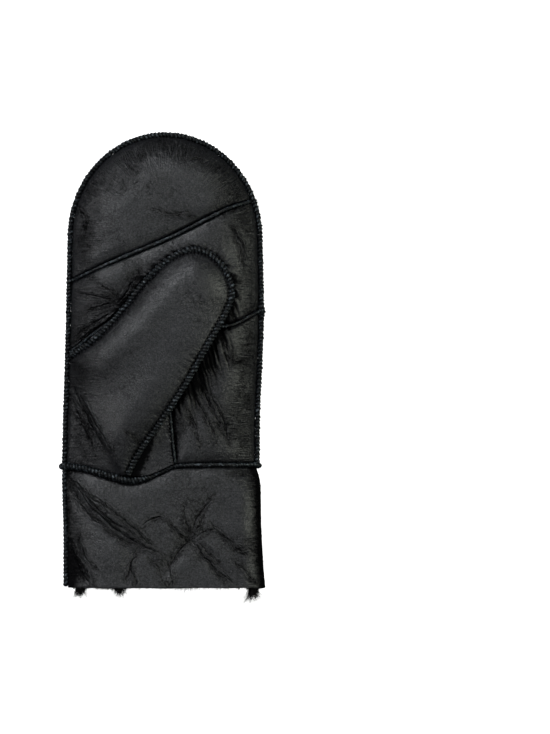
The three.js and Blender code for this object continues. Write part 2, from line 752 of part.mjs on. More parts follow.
// The wool lining: a sock inside the leather, open at the hem, where its locks stick out, and
// into the thumb. Each ring runs from the left seam over the palm side and back under.
const liningRing = 24;

// Rings of the lining: shares of the cuff's length, then of what is left up to the lining's tip.
const cuffRings = [0.01, 0.16, 0.4, 0.68, 0.9, 1];
const handRings = [0.11, 0.22, 0.34, 0.46, 0.58, 0.7, 0.8, 0.89, 0.95, 1];
const liningRings = (end) => [
  ...cuffRings.map((share) => share * cuffLength),
  ...handRings.map((share) => mix(cuffLength, end, share)),
];

function liningSection(y, inset, wall) {
  const full = Math.min(y, shoulder);
  const narrow = Math.sqrt(1 - Math.max(0, (y - shoulder) / (tipRise - inset)) ** 2);
  const left = (inset - halfWidth(full, "left")) * narrow;
  const right = (halfWidth(full, "right") - inset * (1 - foldShare(y))) * narrow;
  const points = [];
  for (let i = 0; i < liningRing; i += 1) {
    const over = i <= liningRing / 2;
    const share = (1 - Math.cos((2 * Math.PI * i) / liningRing)) / 2;
    const x = mix(left, right, share);
    const height = over ? liningTop : liningBottom;
    const p = new THREE.Vector3(x, y, height(x, y));
    points.push(p.addScaledVector(slopeNormal(height, x, y, over ? 1 : -1), -wall));
  }
  return points;
}

function lockReach(round) {
  let reach = 0.22;
  for (const lock of locks) {
    const apart = Math.abs(((round - lock.round + 1.5) % 1) - 0.5);
    reach = Math.max(reach, lock.length * (1 - 0.6 * clamp(apart / lock.width)) * (apart < 2 * lock.width ? 1 : 0));
  }
  return lockLength * reach;
}

function liningBody() {
  const skin = leather + 2 * gap;
  const outerEnd = cuffLength + handLength - 2 * liningInset;
  const innerEnd = outerEnd - 1.6 * pile;
  const outer = liningRings(outerEnd).map((y) => liningSection(y, liningInset, skin));
  const inner = liningRings(innerEnd).map((y) => liningSection(y, liningInset + pile / 2, skin + pile));
  const rings = [...outer.reverse(), ...inner];
  const mouth = outer.length;
  const tips = outer[outer.length - 1].map((p, i) => {
    const tip = p.clone().lerp(inner[0][i], 0.4);
    tip.y = -lockReach(i / liningRing);
    return tip;
  });
  rings.splice(mouth, 0, tips);
  const position = rings.flat().flatMap((p) => [p.x, p.y, p.z]);
  const index = [];
  for (let r = 0; r + 1 < rings.length; r += 1) {
    for (let i = 0; i < liningRing; i += 1) {
      const a = r * liningRing + i;
      const b = r * liningRing + ((i + 1) % liningRing);
      index.push(a, b, a + liningRing, b, b + liningRing, a + liningRing);
    }
  }
  const last = (rings.length - 1) * liningRing;
  for (let i = 1; i + 1 < liningRing; i += 1) {
    index.push(0, i + 1, i, last, last + i, last + i + 1);
  }
  const body = new THREE.BufferGeometry();
  body.setAttribute("position", new THREE.Float32BufferAttribute(position, 3));
  body.setIndex(index);
  return facingOut(body);
}

// Booleans for the lining's opening into the thumb.
const wasm = await Module();
wasm.setup();

function solid(body) {
  const bare = new THREE.BufferGeometry();
  bare.setAttribute("position", body.getAttribute("position"));
  if (body.index) bare.setIndex(body.index);
  const merged = mergeVertices(bare, 1e-4);
  return new wasm.Manifold(
    new wasm.Mesh({
      numProp: 3,
      vertProperties: new Float32Array(merged.getAttribute("position").array),
      triVerts: new Uint32Array(merged.index.array),
    }),
  );
}

function geometryOf(made) {
  const mesh = made.getMesh();
  const body = new THREE.BufferGeometry();
  body.setAttribute("position", new THREE.BufferAttribute(new Float32Array(mesh.vertProperties), 3));
  body.setIndex(new THREE.BufferAttribute(new Uint32Array(mesh.triVerts), 1));
  return body;
}

function furLining() {
  const inset = thumbHoleInset;
  const right = palmSeamPoints(8, -slotHalf - inset, 1.5 * inset, inset);
  const high = seamPoints(middleLine, 12, -slotHalf - inset).filter(
    (p) => p.x < right[right.length - 1].x - 2 && p.x > -halfPalm + 2.6 * inset,
  );
  const floor = right[0].y;
  const corner = new THREE.Vector2(high[0].x, floor);
  const hole = new THREE.Shape([...right, ...high.reverse(), corner]);
  const cutter = new THREE.ExtrudeGeometry(hole, { depth: palmThickness, bevelEnabled: false, steps: 1 });
  cutter.translate(0, 0, seamHeight);
  return geometryOf(solid(liningBody()).subtract(solid(cutter)));
}

const upward = new THREE.Vector3(0, 0, 1);
const everyUp = (points) => points.map(() => upward);

// A welt across the palm, from just inside one side seam to just inside the other.
function palmWelt(points) {
  const inset = 0.6 * sideWeltWidth;
  const path = respaced(trimmed(respaced(points, 1), inset, inset), 5.5);
  const ups = path.map((p) => slopeNormal(palmTop, p.x, p.y, 1));
  return welt(lifted(path, palmTop), ups, weltWidth, weltHeight, false);
}

function palmSeamWelt() {
  const clear = 1.3 * weltWidth;
  const path = respaced(trimmed(respaced(palmSeam, 1), clear, clear), 5);
  const ups = path.map((p) => slopeNormal(palmTop, p.x, p.y, 1));
  return welt(lifted(path, palmTop), ups, weltWidth, weltHeight, false);
}

// The side seam goes round the hand from the cuff seam's left end to its right end. It bulges
// where the middle seam runs into it on the right.
function sideSeam() {
  const low = cuffLength + sideWeltWidth;
  const out = sideWeltWidth / 2 + gap;
  const bulge = 1.4;
  const knot = middleSeam[middleSeam.length - 1];
  const path = respaced(outlineOver(low, low, out), 6.5).map((p) => {
    const near = bulge * Math.exp(-((p.distanceTo(knot) / 4) ** 2));
    return new THREE.Vector3(p.x + near, p.y, seamHeight);
  });
  return welt(path, everyUp(path), sideWeltWidth, sideWeltHeight, false);
}

function cuffSideSeam() {
  const out = sideWeltWidth / 2 + gap;
  const top = cuffLength - sideWeltWidth;
  const path = sideStretch("left", 0.5, top).filter((p, i) => i % 2 === 0);
  const placed = path.map((p) => new THREE.Vector3(p.x - out, p.y, seamHeight));
  return welt(placed, everyUp(placed), sideWeltWidth, sideWeltHeight, false);
}

// The thumb's edge seam, round the outside of the two thumb pieces.
function thumbSeam() {
  const out = thumbWeltWidth / 2 + gap;
  const steps = 62;
  const points = [];
  for (let i = 1; i < steps; i += 1) {
    const share = i / steps;
    const p = thumbEdge.getPointAt(share);
    const along = thumbEdge.getTangentAt(share);
    along.z = 0;
    along.normalize();
    const x = p.x - along.y * out;
    const y = p.y + along.x * out;
    const fromEnds = Math.min(fromSide(x, y) - gap, y - chainY(cuffSeam, x) - weltWidth);
    if (fromEnds < thumbWeltWidth / 2) continue;
    points.push(new THREE.Vector3(x, y, palmSmooth(p.x, p.y) + p.z - (thumbDrop - thumbLip) / 2 + 0.3));
  }
  return welt(points, everyUp(points), thumbWeltWidth, thumbWeltHeight, false);
}

// The cuff seam: a closed ring over the palm side and back under, round both edges.
function cuffSeamRing() {
  const stand = weltWidth / 2 + gap;
  const over = respaced(cuffSeamPoints(28, 0), 5.5);
  const points = [];
  const ups = [];
  const middle = new THREE.Vector3(0, cuffLength, seamHeight);
  for (const p of over) {
    points.push(new THREE.Vector3(p.x, p.y, palmTop(p.x, p.y)));
    ups.push(slopeNormal(palmTop, p.x, p.y, 1));
  }
  const round = [1, -1];
  const made = { points: [], ups: [] };
  for (const side of round) {
    const x = edgeX(cuffLength, side);
    made[side] = new THREE.Vector3(x + side * (stand + 1.2), cuffLength, middle.z);
  }
  const under = respaced([ends(over)[1], ends(over)[0]], 6).map((p) => {
    return new THREE.Vector3(p.x, cuffLength, backBottom(p.x, cuffLength));
  });
  const ring = [...points, made[1], ...under, made[-1]];
  const ringUps = [
    ...ups,
    new THREE.Vector3(1, 0, 0),
    ...under.map((p) => slopeNormal(backBottom, p.x, p.y, -1)),
    new THREE.Vector3(-1, 0, 0),
  ];
  return welt(ring, ringUps, weltWidth, weltHeight, true);
}

// Finishes.
const blackLeather = new THREE.MeshStandardMaterial({ color: 0x1c1d1f, roughness: 0.5, metalness: 0 });
const blackWool = new THREE.MeshStandardMaterial({ color: 0x0b0b0c, roughness: 0.95, metalness: 0 });
const blueBlackThread = new THREE.MeshStandardMaterial({ color: 0x161e24, roughness: 0.7, metalness: 0 });

function piece(name, body, material) {
  const mesh = new THREE.Mesh(body, material);
  mesh.name = name;
  mesh.geometry.computeVertexNormals();
  return mesh;
}

const mitten = new THREE.Group();
mitten.add(
  piece("fingertip_panel", fingertipPanel(), blackLeather),
  piece("middle_panel", middlePanel(), blackLeather),
  piece("lower_palm_panel", lowerPalmPanel(), blackLeather),
  piece("thumb_outer", thumbOuter(), blackLeather),
  piece("thumb_inner", thumbInner(), blackLeather),
  piece("back_panel", backPanel(), blackLeather),
  piece("cuff", cuff(), blackLeather),
  piece("fur_lining", furLining(), blackWool),
  piece("fingertip_seam", palmWelt(fingertipSeam), blueBlackThread),
  piece("middle_seam", palmWelt(middleSeam), blueBlackThread),
  piece("palm_seam", palmSeamWelt(), blueBlackThread),
  piece("thumb_seam", thumbSeam(), blueBlackThread),
  piece("side_seam", sideSeam(), blueBlackThread),
  piece("cuff_side_seam", cuffSideSeam(), blueBlackThread),
  piece("cuff_seam", cuffSeamRing(), blueBlackThread),
);

// The origin is under the middle of the whole mitten, on the surface that it lies on.
const box = new THREE.Box3().setFromObject(mitten);
const centre = box.getCenter(new THREE.Vector3());
mitten.position.set(-centre.x, -centre.y, -box.min.z);

export default mitten;
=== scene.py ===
"""Looks of a left-hand shearling mitten that lies on its back, seen from straight above.

All shapes are worked out in millimetres in the mitten's flat plan: x across the palm, y from
the hem to the fingertips, z up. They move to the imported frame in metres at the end.
"""

import math

import bpy
import numpy as np
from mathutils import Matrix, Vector


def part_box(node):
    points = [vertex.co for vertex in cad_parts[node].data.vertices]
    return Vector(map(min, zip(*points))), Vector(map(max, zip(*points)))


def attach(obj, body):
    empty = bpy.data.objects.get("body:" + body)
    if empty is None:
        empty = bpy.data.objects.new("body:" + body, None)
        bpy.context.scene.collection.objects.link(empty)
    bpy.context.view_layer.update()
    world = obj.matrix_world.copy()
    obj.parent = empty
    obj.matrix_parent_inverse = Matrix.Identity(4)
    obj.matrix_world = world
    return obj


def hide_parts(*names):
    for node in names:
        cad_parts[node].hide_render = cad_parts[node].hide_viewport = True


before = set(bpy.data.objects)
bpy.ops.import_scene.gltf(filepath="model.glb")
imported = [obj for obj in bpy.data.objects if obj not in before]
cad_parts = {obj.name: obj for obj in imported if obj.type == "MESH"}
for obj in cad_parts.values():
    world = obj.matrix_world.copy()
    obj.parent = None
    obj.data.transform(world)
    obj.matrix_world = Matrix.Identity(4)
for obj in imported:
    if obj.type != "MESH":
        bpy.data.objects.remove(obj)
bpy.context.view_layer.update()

# Sizes in mm, as in the part's own source: the whole, its rounded sides, its wall and seams.
CUFF = 74.0
HAND = 202.8
TIP_RISE = 61.8
HALF_PALM = 57.0
FOLD_DEPTH = 14.0
PALM_THICK = 33.0
WRIST_THICK = 27.0
CUFF_THICK = 28.0
SEAM_Z = 13.0
PALM_ROLL = 38.0
BACK_ROLL = 22.0
THUMB_HEIGHT = 15.0
THUMB_ROLL = 21.0
THUMB_DENT = 2.5
LEATHER = 1.6
PILE = 4.0
GAP = 0.35
FOLD_BLEND = 18.0
GROOVE_DEPTH = 1.8
GROOVE_WIDTH = 5.0
SHOULDER = CUFF + HAND - TIP_RISE
EDGE_STEP = 0.85 * LEATHER
THUMB_DROP = 2.3 + 0.25 * LEATHER
THUMB_LIP = 0.7

# How many points are compared with a chain at a time, and how far apart the patterns of
# neighbouring seams and creases start, so that no two look the same. NO_CREASE is the distance
# that stands for none near.
BLOCK = 8000
SEAM_PATTERN_STEP = 97.0
CREASE_PATTERN_STEP = 31.0
NO_CREASE = 99.0

# Shares of HALF_PALM on the left and right, and of the palm's full thickness, by the share of
# the way up the cuff, or from it up to the shoulder.
CUFF_SIDES = {
    "up": [0, 0.46, 0.86, 1],
    "left": [1.049, 1.049, 1.063, 1.061],
    "right": [1.08, 1.043, 1.028, 0.985],
}
HAND_SIDES = {
    "up": [0, 0.22, 0.51, 0.7, 1],
    "left": [1.061, 1.049, 1.026, 1.016, 1],
    "right": [0.97, 0.974, 1.005, 1.016, 1],
    "full": [0, 0.6, 1, 0.95, 0.8],
}
# Seams over the palm. Across is a share of the width. Up is a share of HAND above the cuff, in
# PALM_LINE one of the seam's own length, and drop is a share of CUFF below its top.
FINGERTIP_LINE = {
    "across": [-1, -0.49, 0.065, 0.66, 1],
    "up": [0.563, 0.63, 0.696, 0.777, 0.806],
}
MIDDLE_LINE = {
    "across": [-1, -0.71, -0.4, -0.05, 0.35, 0.67, 1],
    "up": [0.345, 0.411, 0.466, 0.47, 0.437, 0.427, 0.472],
}
PALM_LINE = {
    "up": [0, 0.15, 0.3, 0.6, 1],
    "across": [0.114, 0.086, 0.065, 0.02, -0.02],
}
CUFF_LINE = {
    "across": [-1, -0.78, -0.58, -0.37, -0.2, -0.02, 0.11, 1],
    "drop": [0, 0.03, 0.08, 0.122, 0.1, 0.035, -0.008, -0.018],
}
# The thumb's edge: across and up as shares of HALF_PALM and HAND, and its lift off the palm in
# mm. Its first point is on the left side seam.
THUMB_LINE = [
    (-1, 0.3276, 2.6),
    (-0.72, 0.3874, 3),
    (-0.428, 0.4735, 3.2),
    (-0.179, 0.5617, 3.2),
    (0.087, 0.6281, 3.4),
    (0.288, 0.6518, 3.8),
    (0.443, 0.6431, 4.4),
    (0.589, 0.6088, 5.4),
    (0.678, 0.5654, 6.5),
    (0.702, 0.52, 8),
    (0.633, 0.4657, 9.5),
    (0.433, 0.3664, 10.5),
    (0.195, 0.2476, 9.5),
    (-0.064, 0.1385, 7),
    (-0.281, 0.0529, 4.5),
    (-0.42, -0.0217, 3),
]

# Creases of each panel's leather: start, middle and end on the plan, width and depth, in mm.
CREASES = {
    "cuff": [
        (-54.6, 63.5, -35.3, 42.7, -18.4, 32.0, 0.7, 0.75),
        (-52.2, 56.6, -29.2, 35.0, -0.7, 18.9, 0.8, 0.9),
        (-46.1, 58.1, -24.6, 41.2, -4.6, 23.5, 0.6, 0.6),
        (-55.3, 53.5, -43.0, 41.2, -32.3, 35.0, 0.6, 0.45),
        (-33.0, 35.0, -24.6, 27.4, -17.7, 25.8, 0.5, 0.45),
        (-16.9, 35.0, -4.6, 43.5, 1.6, 41.2, 0.5, 0.5),
        (1.6, 41.2, 9.2, 33.5, 16.2, 28.9, 0.5, 0.5),
        (30.0, 56.6, 20.0, 42.7, 15.4, 30.4, 0.6, 0.7),
        (10.8, 49.7, 13.9, 38.1, 15.7, 28.9, 0.5, 0.55),
        (24.6, 47.3, 21.5, 38.1, 16.9, 32.0, 0.45, 0.4),
        (15.4, 30.4, 8.5, 22.0, 1.6, 11.2, 0.7, 0.8),
        (16.9, 28.9, 27.7, 15.1, 42.3, 1.2, 0.7, 0.75),
        (21.5, 25.8, 29.2, 19.7, 35.4, 12.0, 0.5, 0.4),
        (-0.7, 18.9, 3.1, 12.0, 4.6, -0.3, 0.6, 0.6),
        (1.6, 11.2, -3.0, 16.6, -9.2, 16.6, 0.5, 0.4),
        (-17.7, 24.3, -21.5, 12.0, -23.8, 2.8, 0.6, 0.55),
        (-21.5, 12.0, -17.7, 5.8, -18.4, -0.3, 0.5, 0.4),
        (27.7, 39.7, 36.9, 30.4, 49.2, 20.4, 0.6, 0.4),
        (-58.4, 27.4, -53.8, 12.0, -45.3, 0.5, 0.9, 0.8),
        (-53.8, 32.0, -47.6, 16.6, -40.0, 10.4, 0.6, 0.35),
        (41.5, 16.6, 49.2, 10.4, 55.4, 2.8, 0.6, 0.4),
        (-59.2, 68.4, -44.9, 49.4, -29.5, 39.4, 0.6, 0.55),
        (-58.2, 62.7, -50.4, 49.2, -36.9, 38.1, 0.6, 0.45),
        (-59.0, 67.8, -42.0, 53.2, -27.7, 43.1, 0.6, 0.5),
        (-27.7, 43.1, -18.0, 35.0, -9.5, 27.0, 0.6, 0.5),
        (-38.1, 36.3, -27.7, 30.1, -17.2, 25.8, 0.5, 0.35),
        (-10.5, 17.8, -4.3, 11.0, 0.6, 0.5, 0.5, 0.4),
        (-15.4, 22.8, -20.8, 13.4, -17.0, 0.4, 0.6, 0.5),
        (-57.2, 22.8, -51.0, 12.3, -43.0, 0.5, 0.6, 0.4),
        (4.9, 38.5, 10.5, 31.0, 16.0, 29.0, 0.5, 0.4),
        (17.0, 29.0, 24.0, 34.0, 33.0, 36.0, 0.5, 0.35),
        (20.0, 25.0, 31.0, 10.0, 38.5, 0.5, 0.6, 0.45),
    ],
    "thumb": [
        (-57.6, 125.0, -49.2, 105.8, -37.6, 84.2, 0.9, 0.55),
        (-56.0, 110.0, -49.0, 96.0, -42.0, 80.0, 0.7, 0.35),
        (-52.2, 118.1, -42.3, 99.6, -30.0, 80.4, 0.8, 0.45),
        (-58.4, 115.0, -52.2, 102.7, -46.1, 87.3, 0.7, 0.35),
        (-24.6, 96.5, -15.4, 88.9, -20.0, 79.6, 0.8, 0.25),
    ],
    "palm": [
        (21.5, 124.2, 28.5, 110.4, 35.4, 96.5, 0.8, 0.6),
        (17.7, 118.1, 25.4, 104.2, 32.3, 88.9, 0.7, 0.5),
        (13.1, 110.4, 19.2, 96.5, 21.5, 85.8, 0.7, 0.4),
        (27.7, 119.6, 35.4, 104.2, 40.0, 87.3, 0.7, 0.45),
        (36.9, 142.7, 43.1, 139.6, 49.2, 138.8, 0.6, 0.3),
        (35.4, 151.9, 41.5, 144.2, 43.1, 136.5, 0.7, 0.35),
    ],
    "middle": [
        (-29.2, 166.5, -43.0, 158.0, -56.1, 149.6, 0.7, 0.7),
        (-31.5, 168.8, -44.6, 161.9, -56.1, 155.0, 0.6, 0.5),
        (-28.4, 175.7, -41.5, 178.8, -53.0, 181.1, 0.6, 0.6),
        (-29.2, 174.2, -40.0, 172.7, -52.2, 168.8, 0.5, 0.4),
        (-27.7, 177.3, -33.8, 182.6, -41.5, 186.5, 0.6, 0.5),
        (-28.4, 174.2, -24.6, 179.6, -20.0, 187.3, 0.8, 0.7),
        (-24.6, 182.6, -17.7, 189.6, -15.4, 194.9, 0.6, 0.4),
        (40.0, 222.6, 46.1, 214.9, 50.8, 204.2, 0.7, 0.35),
        (42.3, 218.0, 46.9, 207.2, 48.5, 194.9, 0.7, 0.35),
    ],
    "tip": [
        (-10.0, 232.6, 1.6, 229.5, 15.4, 230.0, 0.5, 0.35),
        (2.3, 228.8, 12.3, 228.0, 21.5, 226.5, 0.5, 0.3),
        (15.4, 261.8, 20.0, 263.4, 23.9, 261.1, 0.7, 0.35),
        (-55.3, 236.5, -49.2, 225.7, -50.7, 213.4, 0.8, 0.3),
    ],
}

# Broad dents and swells: panel, place, turn in degrees, reach along and width across, depth.
DENTS = [
    ("cuff", -40.0, 40.0, -44, 32, 6.0, 0.9),
    ("cuff", -31.0, 46.0, -44, 30, 6.0, -1.3),
    ("cuff", 24.0, 20.0, -47, 22, 4.0, 1.5),
    ("cuff", 8.0, 21.0, 55, 18, 4.0, 1.4),
    ("cuff", 20.0, 42.0, 62, 16, 4.0, 0.9),
    ("cuff", -52.0, 13.0, -70, 20, 5.0, 1.6),
    ("cuff", -22.0, 14.0, 75, 16, 4.5, 0.9),
    ("cuff", 38.0, 28.0, -40, 16, 5.0, 0.8),
    ("thumb", -48.0, 101.0, -60, 30, 4.5, 1.6),
    ("thumb", -40.0, 98.0, -60, 26, 4.0, -0.7),
    ("middle", -33.0, 170.0, 38, 20, 5.0, 1.9),
    ("middle", -22.0, 186.0, 50, 14, 4.0, 1.2),
    ("palm", 20.0, 112.0, 60, 33, 7.0, 2.0),
    ("palm", 31.0, 104.0, -62, 18, 3.5, 0.8),
    ("tip", -34.0, 238.0, 40, 22, 5.0, 0.8),
    ("tip", 14.0, 226.0, 8, 26, 5.0, 0.6),
]


def ramp(t):
    """t kept within 0 and 1."""
    return np.clip(t, 0, 1)


def smooth(t):
    """An eased step from 0 to 1: 3 t^2 - 2 t^3."""
    t = ramp(t)
    return t * t * (3 - 2 * t)


def bell(t):
    """1 at 0 and falling to both sides: e^(-t^2)."""
    return np.exp(-(t**2))


def unit(v):
    """Vectors scaled to length 1."""
    return v / np.maximum(np.linalg.norm(v, axis=-1, keepdims=True), 1e-9)


def mix(a, b, t):
    """From a to b by the share t."""
    return a + (b - a) * t


def dome(t, power):
    """1 - (1 - t)^power between 0 and 1, and power * t below 0."""
    t = np.asarray(t, float)
    return np.where(t < 0, power * t, 1 - (1 - ramp(t)) ** power)


def read(table, key, column, at):
    """The table's smooth curve: eased steps between rows plus a bend from each row's slope."""
    k = np.array(table[key], float)
    c = np.array(table[column], float)
    at = np.asarray(at, float)
    i = np.clip(np.searchsorted(k, at, side="left") - 1, 0, len(k) - 2)
    low = np.maximum(np.arange(len(k)) - 1, 0)
    high = np.minimum(np.arange(len(k)) + 1, len(k) - 1)
    slope = (c[high] - c[low]) / (k[high] - k[low])
    span = k[i + 1] - k[i]
    t = ramp((at - k[i]) / span)
    bend = t * (1 - t) * span
    return c[i] + (c[i + 1] - c[i]) * smooth(t) + bend * (slope[i] * (1 - t) - slope[i + 1] * t)


def half_width(y, side):
    """Plan width on one side of the middle: the tables' shares of HALF_PALM up to the shoulder,
    then an ellipse, HALF_PALM sqrt(1 - ((y - SHOULDER) / TIP_RISE)^2)."""
    y = np.asarray(y, float)
    cuff = HALF_PALM * read(CUFF_SIDES, "up", side, ramp(y / CUFF))
    up = (y - CUFF) / (SHOULDER - CUFF)
    hand = HALF_PALM * read(HAND_SIDES, "up", side, ramp(up))
    tip = HALF_PALM * np.sqrt(np.maximum(0, 1 - ((y - SHOULDER) / TIP_RISE) ** 2))
    return np.where(y <= CUFF, cuff, np.where(up <= 1, hand, tip))


def edge_x(y, across):
    """Plan x at a share of the width, -1 at the left side to 1 at the right one."""
    return across * np.where(np.asarray(across) < 0, half_width(y, "left"), half_width(y, "right"))


def trace_outline():
    """Up the left side from below the hem, round the tip and down the right side."""
    steps = 150
    low = np.linspace(-CUFF, SHOULDER, steps)
    turn = np.linspace(0, math.pi, steps)
    left = np.stack([-half_width(low, "left"), low], 1)
    tip = np.stack([-HALF_PALM * np.cos(turn), SHOULDER + TIP_RISE * np.sin(turn)], 1)
    right = np.stack([half_width(low, "right"), low], 1)[::-1]
    return np.concatenate([left[:-1], tip, right[1:]])


OUTLINE = trace_outline()


def nearest(chain, x, y):
    """Distance from each point to a chain, arc length of its foot, and 1 left or -1 right of it."""
    a = chain[:-1]
    d = chain[1:] - a
    square = np.maximum((d * d).sum(1), 1e-12)
    start = np.concatenate([[0], np.cumsum(np.sqrt(square))[:-1]])
    shape = np.shape(x)
    x, y = np.ravel(x).astype(float), np.ravel(y).astype(float)
    distance, arc, hand = np.empty(len(x)), np.empty(len(x)), np.empty(len(x))
    for low in range(0, len(x), BLOCK):
        part = slice(low, low + BLOCK)
        px = x[part, None] - a[None, :, 0]
        py = y[part, None] - a[None, :, 1]
        share = ramp((px * d[:, 0] + py * d[:, 1]) / square)
        apart = (px - share * d[:, 0]) ** 2 + (py - share * d[:, 1]) ** 2
        k = apart.argmin(1)
        rows = np.arange(len(k))
        distance[part] = np.sqrt(apart[rows, k])
        arc[part] = start[k] + share[rows, k] * np.sqrt(square[k])
        turned = d[k, 0] * py[rows, k] - d[k, 1] * px[rows, k]
        hand[part] = np.where(turned < 0, -1, 1)
    return distance.reshape(shape), arc.reshape(shape), hand.reshape(shape)


def distance_to(chain, x, y):
    """Plan distance from each point to a chain."""
    return nearest(chain, x, y)[0]


def from_side(x, y):
    """Plan distance in from the outline, negative outside it."""
    inside = (y < SHOULDER + TIP_RISE) & (x > -half_width(y, "left")) & (x < half_width(y, "right"))
    return distance_to(OUTLINE, x, y) * np.where(inside, 1, -1)


def inside_loop(loop, x, y):
    """True where a ray to +x crosses the loop an odd number of times."""
    a, b = loop, np.roll(loop, -1, axis=0)
    shape = np.shape(x)
    x, y = np.ravel(x), np.ravel(y)
    crossed = (a[:, 1] > y[:, None]) != (b[:, 1] > y[:, None])
    rise = np.where(b[:, 1] == a[:, 1], 1e-9, b[:, 1] - a[:, 1])
    left = x[:, None] < a[:, 0] + (b[:, 0] - a[:, 0]) * (y[:, None] - a[:, 1]) / rise
    return ((crossed & left).sum(1) % 2 == 1).reshape(shape)


def inward(loop, x, y):
    """Plan distance in from a loop, negative outside it."""
    closed = np.concatenate([loop, loop[:1]])
    return distance_to(closed, x, y) * np.where(inside_loop(loop, x, y), 1, -1)


def seam_y(line, across):
    """Height of a seam over the hand: CUFF + HAND times the table's share."""
    return CUFF + HAND * read(line, "across", "up", across)


def cuff_seam_y(across):
    """Height of the cuff seam: CUFF (1 - drop)."""
    return CUFF * (1 - read(CUFF_LINE, "across", "drop", across))


def seam_chain(height, steps=160, offset=0.0):
    """A seam across the palm as points, moved up by the offset square to the line."""
    across = np.linspace(-1, 1, steps + 1)
    y = height(across)
    x = edge_x(y, across)
    y = y + offset * np.hypot(1, np.gradient(y, x))
    return np.stack([np.where(np.abs(across) == 1, edge_x(y, across), x), y], 1)


def fingertip_y(across):
    """Height of the fingertip seam."""
    return seam_y(FINGERTIP_LINE, across)


def middle_y(across):
    """Height of the middle seam."""
    return seam_y(MIDDLE_LINE, across)


def respaced(points, count):
    """The chain's points at even arc lengths."""
    step = np.linalg.norm(np.diff(points, axis=0), axis=1)
    arc = np.concatenate([[0], np.cumsum(step)])
    at = np.linspace(0, arc[-1], count)
    return np.stack([np.interp(at, arc, points[:, k]) for k in range(points.shape[1])], 1)


def chain_length(points):
    """Sum of the lengths of the chain's steps."""
    return float(np.linalg.norm(np.diff(points, axis=0), axis=1).sum())


FINGERTIP_SEAM = seam_chain(fingertip_y)
MIDDLE_SEAM = seam_chain(middle_y)
CUFF_SEAM = seam_chain(cuff_seam_y)


def palm_seam_chain(offset=0.0, low=0.0, high=0.0, steps=60):
    """The seam from the cuff seam up to the middle seam, moved across by the offset and kept
    clear of both by low and high."""
    up = np.linspace(0, 1, steps + 1)
    x = HALF_PALM * read(PALM_LINE, "up", "across", up) + offset
    bottom = np.interp(x, CUFF_SEAM[:, 0], CUFF_SEAM[:, 1]) + low
    top = np.interp(x, MIDDLE_SEAM[:, 0], MIDDLE_SEAM[:, 1]) - high
    return np.stack([x, mix(bottom, top, up)], 1)


PALM_SEAM = palm_seam_chain()


def smooth_curve(points, count):
    """A smooth curve through the points, at even arc lengths: straight lines between neighbours,
    blended twice by knots that lie the root of the points' distance apart."""
    p = np.array(points, float)
    p = np.concatenate([[2 * p[0] - p[1]], p, [2 * p[-1] - p[-2]]])
    knots = np.concatenate([[0], np.cumsum(np.linalg.norm(np.diff(p, axis=0), axis=1) ** 0.5)])
    made = []
    for i in range(1, len(p) - 2):
        t0, t1, t2, t3 = knots[i - 1 : i + 3]
        t = np.linspace(t1, t2, 40, endpoint=False)[:, None]
        a1 = (t1 - t) / (t1 - t0) * p[i - 1] + (t - t0) / (t1 - t0) * p[i]
        a2 = (t2 - t) / (t2 - t1) * p[i] + (t - t1) / (t2 - t1) * p[i + 1]
        a3 = (t3 - t) / (t3 - t2) * p[i + 1] + (t - t2) / (t3 - t2) * p[i + 2]
        b1 = (t2 - t) / (t2 - t0) * a1 + (t - t0) / (t2 - t0) * a2
        b2 = (t3 - t) / (t3 - t1) * a2 + (t - t1) / (t3 - t1) * a3
        made.append((t2 - t) / (t2 - t1) * b1 + (t - t1) / (t2 - t1) * b2)
    return respaced(np.concatenate([*made, p[-2:-1]]), count)


def thumb_edge_chain():
    """The thumb's edge as plan points and lifts, from the side seam round its tip and down."""
    rows = []
    for across, up, lift in THUMB_LINE:
        y = CUFF + HAND * up
        x = float(edge_x(y, -1.0)) if across == -1 else HALF_PALM * across
        rows.append((x, y, lift))
    return smooth_curve(rows, 500)


THUMB_EDGE = thumb_edge_chain()
THUMB_RING = THUMB_EDGE[:, :2]


def thumb_loop(edge_count):
    """The thumb and its base in plan: sewn edge with its lifts, cuff seam and side seam."""
    edge = respaced(THUMB_EDGE, edge_count)
    low = seam_chain(cuff_seam_y, 60, 1.55)
    low = low[low[:, 0] < edge[-1, 0] - 3][::-1]
    y = np.linspace(low[-1, 1], edge[0, 1], 30)[1:-1]
    side = np.stack([-half_width(y, "left"), y], 1)
    return edge, low, side


_edge, _low, _side = thumb_loop(160)
THUMB_PLAN = np.concatenate([_edge[:, :2], _low, _side])


def thickness(y):
    """Height of the palm side above the table, away from the edges, by height on the plan."""
    up = ramp((y - CUFF) / (SHOULDER - CUFF))
    full = read(HAND_SIDES, "up", "full", up)
    cuff = mix(CUFF_THICK, WRIST_THICK, smooth(y / CUFF))
    return np.where(y < CUFF, cuff, mix(WRIST_THICK, PALM_THICK, full))


def fold_round(x, y):
    """Quarter circle in from the folded right edge: sqrt(1 - (1 - d / FOLD_DEPTH)^2)."""
    t = ramp((half_width(y, "right") - x) / FOLD_DEPTH)
    return np.sqrt(np.maximum(0, 1 - (1 - t) ** 2))


def fold_share(y):
    """How far the cuff's right edge is folded: 0 at the cuff seam, 1 from FOLD_BLEND below it."""
    return smooth((CUFF - y) / FOLD_BLEND)


